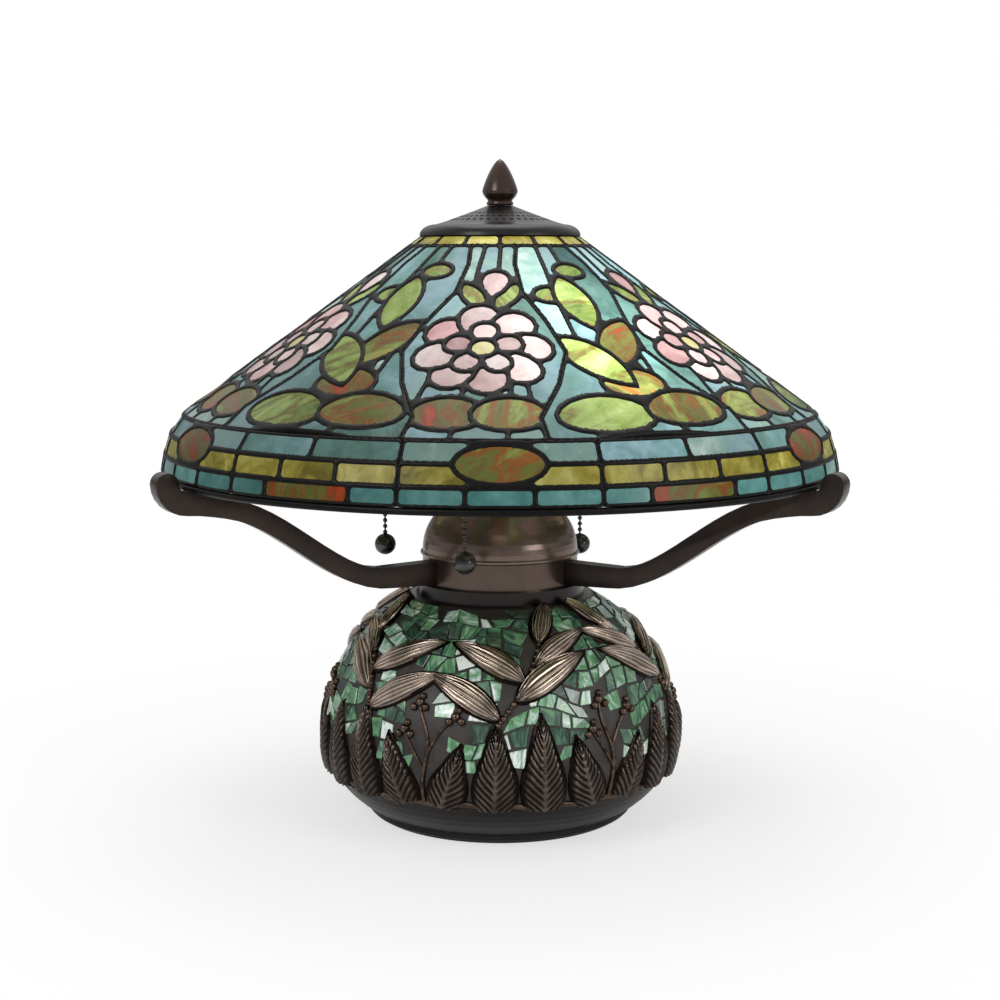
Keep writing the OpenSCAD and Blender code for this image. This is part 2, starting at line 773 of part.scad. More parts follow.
// Plan of one panel; kind 0 holds a blossom and kind 1 a spray of leaves
pitch = 360 / repeats;
function panel_half(r) = pitch / 4 + panel_swing * cos(3 * (r - blossom_r));
function panel_edge(kind, r) = kind == 0 ? panel_half(r) : pitch / 2 - panel_half(r);
module panel(kind) {
    margin = 8;
    steps = 7;
    r0 = border_r - margin;
    r1 = crease_r + margin;
    rs = [for (i = [0:steps]) r0 + (r1 - r0) * i / steps];
    polygon(concat(
        [for (r = rs) polar(r, panel_edge(kind, r))],
        [for (i = [steps:-1:0]) polar(rs[i], -panel_edge(kind, rs[i]))]));
}

// A drawn shape at a radius and an angle, squeezed so that it looks true on the cone
module at(r, a) {
    rotate(a)
        translate([r, 0])
            scale([squeeze, 1])
                children();
}

// Pointed leaf of length l and width w
module leaf(l, w) {
    bow = (l * l + w * w) / (4 * w);
    intersection() {
        translate([0, bow - w / 2])
            circle(r = bow, $fn = 44);
        translate([0, w / 2 - bow])
            circle(r = bow, $fn = 44);
    }
}

module oval(l, w) {
    scale([1, w / l])
        circle(d = l, $fn = 18);
}

// Petal from the origin out to a round end
module petal(l, w) {
    fullest = 0.77;
    polygon([for (t = [0, 70, 100, 124, 146, 168, 192, 214, 236, 260, 290])
        [l * (1 - cos(t)) / 2, w / 2 * sin(t) * sin(t / 2) / fullest]]);
}

// Shapes of a panel in order, the ones on top first, each with its glass:
// p petal, c centre, g green leaf, a amber leaf
first_outer = 1 + inner_petals;
first_leaf = first_outer + outer_petals;
function shape_count(kind) = kind == 0 ? first_leaf + 5 : 8;
function shape_glass(kind, i) = kind == 0
    ? (i == 0 ? "c" : i <= first_leaf ? "p" : i <= first_leaf + 2 ? "g" : "a")
    : ["g", "a", "g", "a", "g", "a", "g", "g"][i];
module shape(kind, i) {
    b = blossom_size;
    if (kind == 0)
        blossom_shape(i, b);
    else
        spray_shape(i);
}

module blossom_shape(i, b) {
    bud_r = border_r + 34;
    foot_leaf_r = crease_r - 19;
    if (i == 0)
        at(blossom_r, 0) circle(r = b * 0.2, $fn = 13);
    else if (i < first_outer)
        at(blossom_r, 0) rotate(36 + 360 * i / inner_petals) petal(b * 0.58, b * 0.4);
    else if (i < first_leaf)
        at(blossom_r, 0) rotate(8 + 360 * i / outer_petals) petal(b, b * 0.62);
    else if (i == first_leaf)
        at(bud_r + 12, 1) rotate(174) petal(30, 19);
    else if (i <= first_leaf + 2)
        at(bud_r + 9, i == first_leaf + 1 ? 6.5 : -5) rotate(i == first_leaf + 1 ? 150 : 212) leaf(34, 14);
    else
        at(foot_leaf_r, i == first_leaf + 3 ? 5.6 : -5.2) oval(30, 46);
}

module spray_shape(i) {
    base_r = crease_r - 20;
    if (i == 0)
        at(base_r - 38, -4.6) rotate(-142) leaf(62, 28);
    else if (i == 1)
        at(base_r - 50, 4.4) rotate(146) leaf(58, 27);
    else if (i == 2)
        at(base_r - 84, -0.5) rotate(184) leaf(56, 25);
    else if (i == 3)
        at(base_r, 9) oval(32, 58);
    else if (i == 4)
        at(base_r + 2, -7.4) oval(34, 62);
    else if (i == 5)
        at(base_r - 20, 1.5) oval(28, 44);
    else if (i == 6)
        at(border_r + 22, 5.5) oval(16, 22);
    else
        at(border_r + 42, -8) oval(17, 24);
}

// Wavy lead line of the background at angle a, from radius r0 down to the crease
function streak_angle(a, r) = a + 1.5 * sin(2.2 * (r - border_r) + 40 * a);
module streak(a, r0) {
    margin = 6;
    steps = 6;
    r1 = crease_r + margin;
    rs = [for (i = [0:steps]) r0 + (r1 - r0) * i / steps];
    polygon(concat(
        [for (r = rs) polar(r, streak_angle(a, r)) + polar(lead_w / 2, streak_angle(a, r) + 90)],
        [for (i = [steps:-1:0]) polar(rs[i], streak_angle(a, rs[i]))
            - polar(lead_w / 2, streak_angle(a, rs[i]) + 90)]));
}

// Two lines to a panel start at the border, and two more start behind its shapes
module streaks(kind) {
    for (a = kind == 0 ? [-4.4, 4.8] : [-5.4, 4.6])
        streak(a, border_r - 6);
    if (kind == 0) {
        streak(-11, blossom_r);
        streak(10.5, blossom_r);
    } else {
        streak(-0.4, crease_r - 94);
        streak(7, crease_r - 80);
    }
}

// Part of a panel that one shape shows, with half a lead line taken off all round
module shape_opening(kind, i) {
    offset(delta = -lead_w / 2)
        intersection() {
            panel(kind);
            difference() {
                shape(kind, i);
                for (j = [0:1:i - 1])
                    shape(kind, j);
            }
        }
}

// What is left of a panel behind its shapes
module background_opening(kind) {
    difference() {
        offset(delta = -lead_w / 2)
            panel(kind);
        offset(delta = lead_w / 2)
            for (i = [0:shape_count(kind) - 1])
                shape(kind, i);
        streaks(kind);
    }
}

// Openings of a panel for one kind of glass, or for all of them
module raw_openings(kind, glass) {
    for (i = [0:shape_count(kind) - 1])
        if (glass == "all" || glass == shape_glass(kind, i))
            shape_opening(kind, i);
    if (glass == "all" || glass == "b")
        background_opening(kind);
}

// The same without slivers, drawn in by a gap
module openings(kind, glass, gap) {
    sliver = 1.2;
    offset(delta = -gap)
        intersection() {
            raw_openings(kind, glass);
            offset(delta = sliver)
                offset(delta = -sliver)
                    raw_openings(kind, glass);
        }
}

module each_panel(kinds = [0, 1]) {
    for (k = [0:repeats - 1])
        for (kind = kinds)
            rotate([0, 0, panel_start + pitch * (k + kind / 2)]) {
                $kind = kind;
                children();
            }
}
panel_start = 266;

// Plan pushed up through the whole cone
module pushed_up() {
    translate([0, 0, crease_z - 10])
        linear_extrude(cone_h + 20)
            children();
}

// Leading of the panels of one kind, as a plan with holes that is pushed up through the cone
module leading_panels(kind) {
    color("#26221f")
        each_panel([kind])
            intersection() {
                wall(1, 2, lead_proud, glass_t + lead_proud);
                pushed_up()
                    offset(delta = -seam / 2)
                        difference() {
                            panel(kind);
                            intersection() {
                                openings(kind, "all", seam / 2);
                                cone_field(lead_w / 2 + seam / 2, lead_w / 2 + seam / 2);
                            }
                        }
            }
}

// Ring, in plan, that the cone's panes may fill
module cone_field(inset, low_inset) {
    difference() {
        circle(r = crease_r - low_inset * squeeze, $fn = 96);
        circle(r = border_r + inset * squeeze, $fn = 96);
    }
}

module cone_panes(glass, kinds) {
    each_panel(kinds)
        intersection() {
            rotate_extrude()
                polygon(leg_section(1, pane_inset, 0, glass_t));
            pushed_up()
                offset(delta = -foil_gap)
                    intersection() {
                        openings($kind, glass, 0);
                        cone_field(lead_w / 2, 0);
                    }
        }
}

// Upper border

border_step = 360 / border_panes;
module border_panes_cut(inset, t_out, t_in) {
    slack = turn(inset, border_r);
    for (k = [0:border_panes - 1])
        wedge(leg_section(0, inset, t_out, t_in),
            k * border_step + slack, (k + 1) * border_step - slack);
}

module leading_border() {
    segments = 8;
    color("#26221f")
        for (k = [0:segments - 1])
            difference() {
                wedge(wall_section(0, 1, lead_proud, glass_t + lead_proud),
                    k * 360 / segments + turn(seam / 2, top_r),
                    (k + 1) * 360 / segments - turn(seam / 2, top_r));
                border_panes_cut(lead_w / 2, lead_proud + 0.5, glass_t + lead_proud + 0.5);
            }
}

module glass_border() {
    color("#b9c46a")
        border_panes_cut(lead_w / 2 + foil_gap, 0, glass_t);
}

// Apron: shoulder row, amber band and rim band in sectors, every other one with an oval leaf

sectors = 2 * repeats;
sector = 360 / sectors;
sector_start = 270 - sector / 2;
oval_leaf_w = 54;
function row_breaks(row, odd) = row == 0 ? [0, 1 / 2, 1]
    : row == 1 ? (odd ? [0, 1 / 3, 2 / 3, 1] : [0, 1 / 2, 1])
    : (odd ? [0, 1 / 4, 3 / 4, 1] : [0, 1 / 3, 2 / 3, 1]);
// The wide pane of an odd sector's rim band takes leaf glass
function rim_leaf(odd, i) = odd && i == 1;

// One pane's space in a row of the apron
module row_pane(row, odd, i, inset, t_out, t_in) {
    breaks = row_breaks(row, odd);
    slack = turn(inset, shade_path[row + 2][0]);
    wedge(leg_section(row + 2, inset, t_out, t_in),
        breaks[i] * sector + slack, breaks[i + 1] * sector - slack);
}

// Radial prism of the oval leaf, grown or shrunk by d
module oval_leaf(d) {
    low = amber_z + lead_w / 2;
    high = crease_z - lead_w / 2;
    rotate([0, 0, sector / 2])
        translate([crease_r - 25, 0, (low + high) / 2])
            rotate([90, 0, 90])
                linear_extrude(60)
                    polygon([for (a = [0:15:345])
                        [(oval_leaf_w / 2 + d) * cos(a), ((high - low) / 2 + d) * sin(a)]]);
}

module row_panes(row, odd, inset, t_out, t_in, only_rim_leaf = undef) {
    breaks = row_breaks(row, odd);
    difference() {
        for (i = [0:len(breaks) - 2])
            if (is_undef(only_rim_leaf) || only_rim_leaf == rim_leaf(odd, i))
                row_pane(row, odd, i, inset, t_out, t_in);
        if (!odd && row < 2)
            oval_leaf(inset);
    }
}

module each_sector() {
    for (k = [0:sectors - 1])
        rotate([0, 0, sector_start + k * sector]) {
            $odd = k % 2 == 1;
            children();
        }
}

module leading_apron() {
    cut = glass_t + lead_proud + 0.4;
    color("#26221f")
        each_sector()
            difference() {
                wedge(wall_section(2, 5, lead_proud, glass_t + lead_proud),
                    turn(seam / 2, crease_r), sector - turn(seam / 2, crease_r));
                for (row = [0:2])
                    row_panes(row, $odd, lead_w / 2, lead_proud + 0.4, cut);
                if (!$odd)
                    oval_leaf(-lead_w / 2);
            }
}

pane_inset = lead_w / 2 + foil_gap;
module apron_row(row, only_rim_leaf = undef) {
    each_sector()
        row_panes(row, $odd, pane_inset, 0, glass_t, only_rim_leaf);
}

module apron_ovals() {
    each_sector()
        if (!$odd)
            intersection() {
                wedge(wall_section(2, 5, 0, glass_t), 0, sector);
                oval_leaf(-pane_inset);
            }
}

module glass_background() {
    color("#5aa3a0") {
        cone_panes("b", [0, 1]);
        apron_row(0);
    }
}

module glass_petals() {
    color("#e3b4ae")
        cone_panes("p", [0]);
}

module glass_centres() {
    color("#e8d894")
        cone_panes("c", [0]);
}

module glass_green_leaves() {
    color("#6f9a4f")
        cone_panes("g", [0, 1]);
}

module glass_amber_leaves() {
    color("#9a5a30") {
        cone_panes("a", [0, 1]);
        apron_ovals();
        apron_row(2, true);
    }
}

module glass_amber_band() {
    color("#c2b45a")
        apron_row(1);
}

module glass_rim_band() {
    color("#6cb0ae")
        apron_row(2, false);
}

module rim_wire() {
    color("#211e1c")
        rotate_extrude()
            translate(rim_wire_c)
                circle(r = rim_wire_r, $fn = 32);
}

module top_ring() {
    n = leg_normal(0);
    p = shade_path[0];
    color("#211e1c")
        rotate_extrude()
            polygon([p + n * lead_proud - [seat_gap, 0], p - n * (glass_t + lead_proud) - [seat_gap, 0],
                p - n * (glass_t + lead_proud) - [4, 0], p + n * lead_proud - [4, 0]]);
}

// Spun heat cap with rows of vent holes, and the finial screwed through it

cap_flat_r = 9;
cap_lip = 0.38 * cap_h;
cap_roll = 0.2 * cap_r;
function cap_slope(t) = [cap_flat_r + (cap_r - cap_roll - cap_flat_r) * t,
    cap_z + cap_lip + (cap_h - cap_lip) * pow(1 - t, 1.12)];
function cap_rim(a, wall) = [cap_r - cap_roll + (cap_roll - wall) * sin(a),
    cap_z + (cap_lip - 1.2 * wall) * cos(a)];
module heat_cap() {
    ts = [0, 0.1, 0.2, 0.3, 0.8, 0.9];
    color("#1f1c1b")
        difference() {
            rotate_extrude()
                polygon(concat(
                    [[stud_r + fit, cap_top]],
                    [for (t = ts) cap_slope(t)],
                    [for (a = [0:15:90]) cap_rim(a, 0)],
                    [for (a = [90:-15:0]) cap_rim(a, cap_t)],
                    [for (i = [len(ts) - 1:-1:0]) cap_slope(ts[i]) - [0, cap_t * 1.2]],
                    [[stud_r + fit, cap_top - cap_t * 1.2]]));
            for (row = [0:2], k = [0:vents - 1])
                rotate([0, 0, (k + row / 2) * 360 / vents])
                    translate([cap_r * (0.4 + 0.11 * row), 0, cap_z])
                        cylinder(r = 1.1 + 0.25 * row, h = cap_h + 5, $fn = 24);
        }
}

module cap_nut() {
    color("#8a7a55")
        translate([0, 0, cap_top - cap_t * 1.2 - 4 - seat_gap])
            difference() {
                cylinder(r = 6.5, h = 4, $fn = 6);
                translate([0, 0, -1])
                    cylinder(r = stud_r + fit, h = 6);
            }
}

module finial() {
    z0 = cap_top + seat_gap;
    neck_z = 3.6;
    widest_z = 9.5;
    color("#2b211c")
        rotate_extrude()
            polygon(concat(
                [[0, cap_top - 12], [stud_r, cap_top - 12], [stud_r, z0], [finial_r * 0.72, z0],
                    [finial_r * 0.76, z0 + 1], [finial_r * 0.72, z0 + 2.4], [finial_r * 0.68, z0 + 2.8],
                    [finial_r * 0.7, z0 + neck_z], [finial_r * 0.86, z0 + neck_z + 2],
                    [finial_r * 0.96, z0 + neck_z + 4]],
                [for (i = [0:14]) let (t = i / 14)
                    [finial_r * pow(1 - pow(t, 1.15), 0.66), z0 + widest_z + (finial_h - widest_z) * t]]));
}

felt_pad();
foot_plate();
pot();
pot_relief();
mosaic_tiles();
cord_bushing();
collar();
dome_cap();
arm(0);  // arm_left
arm(1);  // arm_right
arm(2);  // arm_back
arm_screws();
centre_pipe();
foot_washer();
foot_nut();
dome_nut();
cluster_body();
socket_cap(0);  // socket_cap_front
socket_cap(1);  // socket_cap_right
socket_cap(2);  // socket_cap_left
socket_shell(0);  // socket_shell_front
socket_shell(1);  // socket_shell_right
socket_shell(2);  // socket_shell_left
socket_core(0);  // socket_core_front
socket_core(1);  // socket_core_right
socket_core(2);  // socket_core_left
chain_guide(0);  // chain_guide_front
chain_guide(1);  // chain_guide_right
chain_guide(2);  // chain_guide_left
bulb_base(0);  // bulb_base_front
bulb_base(1);  // bulb_base_right
bulb_base(2);  // bulb_base_left
bulb_glass(0);  // bulb_glass_front
bulb_glass(1);  // bulb_glass_right
bulb_glass(2);  // bulb_glass_left
pull_chain(0);  // pull_chain_front
pull_chain(1);  // pull_chain_right
pull_chain(2);  // pull_chain_left
pull_ball(0);  // pull_ball_front
pull_ball(1);  // pull_ball_right
pull_ball(2);  // pull_ball_left
leading_border();
leading_panels(0);  // leading_blossoms
leading_panels(1);  // leading_leaves
leading_apron();
rim_wire();
top_ring();
glass_border();
glass_background();
glass_petals();
glass_centres();
glass_green_leaves();
glass_amber_leaves();
glass_amber_band();
glass_rim_band();
heat_cap();
cap_nut();
finial();
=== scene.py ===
"""Looks of a table lamp: a leaded glass cone shade on hooked bronze arms above a squat mosaic pot."""

import logging
import math
from dataclasses import dataclass, field
from enum import Enum
from typing import Any, Iterable, Mapping, Sequence

import bpy
import numpy as np
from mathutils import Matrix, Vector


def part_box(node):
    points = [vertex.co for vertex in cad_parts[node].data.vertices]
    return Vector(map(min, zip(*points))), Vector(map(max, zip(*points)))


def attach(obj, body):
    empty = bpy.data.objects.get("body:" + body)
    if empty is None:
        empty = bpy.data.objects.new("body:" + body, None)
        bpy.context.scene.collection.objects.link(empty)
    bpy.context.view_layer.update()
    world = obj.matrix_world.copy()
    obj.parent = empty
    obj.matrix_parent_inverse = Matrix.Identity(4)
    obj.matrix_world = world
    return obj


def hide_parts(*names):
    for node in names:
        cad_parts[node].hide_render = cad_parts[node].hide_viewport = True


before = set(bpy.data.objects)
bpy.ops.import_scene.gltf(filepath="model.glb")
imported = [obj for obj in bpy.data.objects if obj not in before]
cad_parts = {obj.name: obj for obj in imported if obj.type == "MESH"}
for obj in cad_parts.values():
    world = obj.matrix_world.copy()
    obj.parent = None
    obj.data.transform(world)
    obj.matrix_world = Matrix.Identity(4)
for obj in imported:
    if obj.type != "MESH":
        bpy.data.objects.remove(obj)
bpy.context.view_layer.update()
LOG = logging.getLogger("lamp")
MM = 0.001
Colour = tuple[float, float, float]
# Where the bulbs light the shade, each with its strength, and the distance at which that light has halved
BULB_LIGHT = (((0.066, -0.100, 0.320), 1.65), ((0.105, 0.090, 0.300), 0.9), ((-0.120, 0.045, 0.300), 0.75))
BULB_REACH = 0.072
GLOW_POWER = 1.5
FULL_TURN = 2 * math.pi


class Body(Enum):
    """Rigid bodies of the lamp that new pieces ride on."""

    BASE = "base"
    SHADE = "shade"


class Side(Enum):
    """The three sockets, by where they point."""

    FRONT = "front"
    RIGHT = "right"
    LEFT = "left"


# ---- mesh helpers


def select_only(*objects: bpy.types.Object) -> None:
    """Select just these objects and make the first one active.

    Args:
        objects: the objects to select.
    """
    bpy.ops.object.select_all(action="DESELECT")
    for obj in objects:
        obj.select_set(True)
    bpy.context.view_layer.objects.active = objects[0]


def apply_modifier(obj: bpy.types.Object, kind: str, **settings: Any) -> None:
    """Add a modifier with its settings and apply it.

    Args:
        obj: the object to change.
        kind: Blender's name of the modifier type.
        settings: values set on the modifier.
    """
    mod = obj.modifiers.new(kind.lower(), kind)
    for key, value in settings.items():
        setattr(mod, key, value)
    select_only(obj)
    bpy.ops.object.modifier_apply(modifier=mod.name)


def node_copy(node: str, name: str) -> bpy.types.Object:
    """Copy a CAD node's mesh into a new object with its corners merged.

    Args:
        node: name of the CAD node.
        name: name of the new piece.

    Returns:
        The new object, without materials.
    """
    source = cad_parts[node]
    obj = bpy.data.objects.new(name, source.data.copy())
    bpy.context.scene.collection.objects.link(obj)
    obj.data.materials.clear()
    select_only(obj)
    bpy.ops.mesh.customdata_custom_splitnormals_clear()
    bpy.ops.object.mode_set(mode="EDIT")
    bpy.ops.mesh.select_all(action="SELECT")
    bpy.ops.mesh.remove_doubles(threshold=2e-6)
    bpy.ops.object.mode_set(mode="OBJECT")
    return obj


def loose_parts(obj: bpy.types.Object) -> list[bpy.types.Object]:
    """Split an object into one object per separate shell.

    Args:
        obj: the object to split.

    Returns:
        The shells, in order of their names.
    """
    select_only(obj)
    bpy.ops.object.mode_set(mode="EDIT")
    bpy.ops.mesh.select_all(action="SELECT")
    bpy.ops.mesh.separate(type="LOOSE")
    bpy.ops.object.mode_set(mode="OBJECT")
    return sorted(bpy.context.selected_objects, key=lambda o: o.name)


def joined(objects: Sequence[bpy.types.Object], name: str) -> bpy.types.Object:
    """Join objects into one piece.

    Args:
        objects: the objects to join.
        name: name of the joined piece.

    Returns:
        The joined object.
    """
    select_only(*objects)
    if len(objects) > 1:
        bpy.ops.object.join()
    obj = bpy.context.view_layer.objects.active
    obj.name = name
    obj.data.name = name
    return obj


def smooth(obj: bpy.types.Object, degrees: float = 40.0) -> None:
    """Shade a piece smooth but for edges sharper than an angle.

    Args:
        obj: the piece.
        degrees: edges sharper than this stay sharp.
    """
    select_only(obj)
    bpy.ops.object.shade_smooth_by_angle(angle=math.radians(degrees))


def coordinates(obj: bpy.types.Object) -> np.ndarray:
    """Read a mesh's corner positions as an array of rows.

    Args:
        obj: the mesh object.

    Returns:
        Positions in metres, one row per vertex.
    """
    flat = np.empty(len(obj.data.vertices) * 3)
    obj.data.vertices.foreach_get("co", flat)
    return flat.reshape(-1, 3)


def reshape(obj: bpy.types.Object, points: np.ndarray) -> None:
    """Move a mesh's corners to new positions.

    Args:
        obj: the mesh object.
        points: positions in metres, one row per vertex.
    """
    obj.data.vertices.foreach_set("co", np.asarray(points, dtype=float).ravel())
    obj.data.update()


def point_value(obj: bpy.types.Object, name: str, values: np.ndarray) -> None:
    """Store one number per vertex for a material to read.

    Args:
        obj: the mesh object.
        name: the attribute's name.
        values: one number per vertex.
    """
    attribute = obj.data.attributes.new(name, "FLOAT", "POINT")
    attribute.data.foreach_set("value", np.asarray(values, dtype=np.float32))


def point_colour(obj: bpy.types.Object, name: str, values: np.ndarray) -> None:
    """Store three numbers per vertex for a material to read.

    Args:
        obj: the mesh object.
        name: the attribute's name.
        values: three numbers per vertex.
    """
    attribute = obj.data.attributes.new(name, "FLOAT_COLOR", "POINT")
    rgba = np.ones((len(values), 4), dtype=np.float32)
    rgba[:, :3] = values
    attribute.data.foreach_set("color", rgba.ravel())


def shells(obj: bpy.types.Object) -> np.ndarray:
    """Number the separate shells of a mesh.

    Args:
        obj: the mesh object.

    Returns:
        For each vertex, the number of the shell it belongs to.
    """
    edges = np.empty(len(obj.data.edges) * 2, dtype=np.int64)
    obj.data.edges.foreach_get("vertices", edges)
    edges = edges.reshape(-1, 2)
    label = np.arange(len(obj.data.vertices))
    while True:
        low = np.minimum(label[edges[:, 0]], label[edges[:, 1]])
        new = label.copy()
        np.minimum.at(new, edges[:, 0], low)
        np.minimum.at(new, edges[:, 1], low)
        new = new[new]
        if np.array_equal(new, label):
            break
        label = new
    return np.unique(label, return_inverse=True)[1]


def grid_sheet(name: str, along: int, across: int) -> bpy.types.Object:
    """Add a flat grid whose corners run from -1 to 1 both ways.

    Args:
        name: name of the new sheet.
        along: faces along X.
        across: faces along Y.

    Returns:
        The new object.
    """
    bpy.ops.object.select_all(action="DESELECT")
    bpy.ops.mesh.primitive_grid_add(x_subdivisions=along, y_subdivisions=across, size=2.0)
    obj = bpy.context.active_object
    obj.name = name
    return obj


def finish_piece(
    obj: bpy.types.Object, body: Body | str, slot: str, material: bpy.types.Material, *replaced: str
) -> None:
    """Give a new piece its material, its body and the CAD nodes it stands for.

    Args:
        obj: the piece.
        body: the body that it rides on.
        slot: the material slot's name; not used.
        material: its material.
        replaced: CAD nodes that it replaces.
    """
    obj.data.materials.clear()
    obj.data.materials.append(material)
    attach(obj, body.value if isinstance(body, Body) else body)
    if replaced:
        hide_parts(*replaced)
    LOG.info("%s: %d faces", obj.name, len(obj.data.polygons))


def dress(material: bpy.types.Material, *nodes: str) -> None:
    """Put a material on CAD nodes that are shown as they are.

    Args:
        material: the material.
        nodes: names of the CAD nodes.
    """
    for node in nodes:
        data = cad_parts[node].data
        data.materials.clear()
        data.materials.append(material)
        LOG.info("%s takes %s", node, material.name)


# ---- shader helpers


class Tree:
    """A shader node tree with short calls for the nodes this object needs."""

    def __init__(self, tree: bpy.types.NodeTree) -> None:
        """Wrap a node tree."""
        self.tree = tree

    def add(self, kind: str, inputs: Mapping[Any, Any] | None = None, **settings: Any) -> bpy.types.Node:
        """Add a node, set its properties and fill or link its inputs.

        Args:
            kind: Blender's name of the node type.
            inputs: socket name or number to a constant or an output socket.
            settings: properties of the node.

        Returns:
            The new node.
        """
        node = self.tree.nodes.new(kind)
        for key, value in settings.items():
            setattr(node, key, value)
        for key, value in (inputs or {}).items():
            if isinstance(value, bpy.types.NodeSocket):
                self.tree.links.new(value, node.inputs[key])
            else:
                node.inputs[key].default_value = value
        return node

    def math(self, operation: str, a: Any, b: Any = 0.0, clamp: bool = False) -> bpy.types.NodeSocket:
        """Return the result of a Math node on two values."""
        return self.add("ShaderNodeMath", {0: a, 1: b}, operation=operation, use_clamp=clamp).outputs[0]

    def mix(self, factor: Any, a: Any, b: Any) -> bpy.types.NodeSocket:
        """Return a mix of two colours.

        Args:
            factor: share of the second colour.
            a: first colour or socket.
            b: second colour or socket.

        Returns:
            The colour output.
        """
        node = self.add("ShaderNodeMix", data_type="RGBA", blend_type="MIX", clamp_factor=True)
        for index, value in ((0, factor), (6, a), (7, b)):
            if isinstance(value, bpy.types.NodeSocket):
                self.tree.links.new(value, node.inputs[index])
            elif index == 0:
                node.inputs[0].default_value = value
            else:
                node.inputs[index].default_value = (*value, 1.0)
        return node.outputs[2]

    def noise(
        self, vector: Any, scale: float, detail: float = 3.0, rough: float = 0.55, distortion: float = 0.0
    ) -> bpy.types.NodeSocket:
        """Return a noise value over a vector.

        Args:
            vector: coordinate socket.
            scale: repeats per metre.
            detail: octaves.
            rough: weight of the finer octaves.
            distortion: how far the noise is bent.

        Returns:
            The value output.
        """
        inputs = {"Vector": vector, "Scale": scale, "Detail": detail, "Roughness": rough, "Distortion": distortion}
        return self.add("ShaderNodeTexNoise", inputs).outputs[0]

    def ramp(self, factor: Any, stops: Sequence[tuple[float, Colour]]) -> bpy.types.NodeSocket:
        """Return a colour ramp.

        Args:
            factor: the value that runs along the ramp.
            stops: positions and colours.

        Returns:
            The colour output.
        """
        node = self.add("ShaderNodeValToRGB", {0: factor})
        elements = node.color_ramp.elements
        while len(elements) < len(stops):
            elements.new(0.5)
        for element, (place, colour) in zip(elements, stops):
            element.position = place
            element.color = (*colour, 1.0)
        return node.outputs[0]

    def spread(self, value: Any, low: float, high: float) -> bpy.types.NodeSocket:
        """Return a value stretched so that low becomes 0 and high becomes 1."""
        return self.add("ShaderNodeMapRange", {0: value, 1: low, 2: high}, clamp=True).outputs[0]

    def between(self, value: Any, low: float, high: float) -> bpy.types.NodeSocket:
        """Return a value from 0 to 1 moved into low to high."""
        return self.add("ShaderNodeMapRange", {0: value, 3: low, 4: high}, clamp=True).outputs[0]

    def place(self) -> bpy.types.NodeSocket:
        """Return the Object coordinates."""
        return self.add("ShaderNodeTexCoord").outputs["Object"]


def new_group(name: str, inputs: Mapping[str, float], outputs: Iterable[str]) -> tuple[Tree, Any, Any]:
    """Start a shader node group with number inputs and value outputs.

    Args:
        name: name of the group.
        inputs: input names and their defaults.
        outputs: output names.

    Returns:
        The wrapped tree, its input node and its output node.
    """
    group = bpy.data.node_groups.new(name, "ShaderNodeTree")
    for key, value in inputs.items():
        socket = group.interface.new_socket(name=key, in_out="INPUT", socket_type="NodeSocketFloat")
        socket.default_value = value
    for key in outputs:
        group.interface.new_socket(name=key, in_out="OUTPUT", socket_type="NodeSocketFloat")
    tree = Tree(group)
    return tree, tree.add("NodeGroupInput"), tree.add("NodeGroupOutput")


def cloud_group() -> bpy.types.NodeTree:
    """Build the group of soft patches and fine grain that all the metals use."""
    tree, given, out = new_group("cloud_and_grain", {"Scale": 30.0, "Grain": 600.0}, ("Cloud", "Grain"))
    place = tree.place()
    cloud = tree.add(
        "ShaderNodeTexNoise", {"Vector": place, "Scale": given.outputs["Scale"], "Detail": 4.0, "Roughness": 0.6}
    )
    grain = tree.add(
        "ShaderNodeTexNoise", {"Vector": place, "Scale": given.outputs["Grain"], "Detail": 2.0, "Roughness": 0.5}
    )
    tree.tree.links.new(tree.spread(cloud.outputs[0], 0.3, 0.7), out.inputs["Cloud"])
    tree.tree.links.new(grain.outputs[0], out.inputs["Grain"])
    return tree.tree


def sheet_group() -> bpy.types.NodeTree:
    """Build the group of streaks and mottles of a hand-rolled glass sheet, cut anew for each pane."""
    tree, given, out = new_group(
        "rolled_sheet", {"Scale": 14.0, "Stretch": 3.5, "Swirl": 1.2}, ("Streak", "Mottle", "Ripple", "Tone", "Light")
    )
    pane = tree.add("ShaderNodeAttribute", attribute_name="pane", attribute_type="GEOMETRY")
    split = tree.add("ShaderNodeSeparateColor", {0: pane.outputs["Color"]})
    shift = tree.add("ShaderNodeVectorMath", {0: pane.outputs["Vector"], "Scale": 7.0}, operation="SCALE")
    moved = tree.add("ShaderNodeVectorMath", {0: tree.place(), 1: shift.outputs[0]}, operation="ADD")
    turned = tree.add(
        "ShaderNodeVectorRotate",
        {"Vector": moved.outputs[0], "Angle": tree.math("MULTIPLY", split.outputs[1], 6.283)},
        rotation_type="Z_AXIS",
    )
    stretch = tree.add("ShaderNodeCombineXYZ", {0: given.outputs["Stretch"], 1: 1.0, 2: 1.0})
    drawn = tree.add("ShaderNodeVectorMath", {0: turned.outputs[0], 1: stretch.outputs[0]}, operation="MULTIPLY")
    streak = tree.add(
        "ShaderNodeTexNoise",
        {
            "Vector": drawn.outputs[0],
            "Scale": given.outputs["Scale"],
            "Detail": 4.0,
            "Roughness": 0.55,
            "Distortion": given.outputs["Swirl"],
        },
    )
    mottle = tree.noise(moved.outputs[0], 90.0, 3.0, 0.6, 0.6)
    ripple = tree.noise(drawn.outputs[0], 60.0, 2.0, 0.5, 0.8)
    tree.tree.links.new(tree.spread(streak.outputs[0], 0.35, 0.65), out.inputs["Streak"])
    tree.tree.links.new(tree.spread(mottle, 0.3, 0.7), out.inputs["Mottle"])
    tree.tree.links.new(ripple, out.inputs["Ripple"])
    tree.tree.links.new(split.outputs[0], out.inputs["Tone"])
    tree.tree.links.new(split.outputs[2], out.inputs["Light"])
    return tree.tree


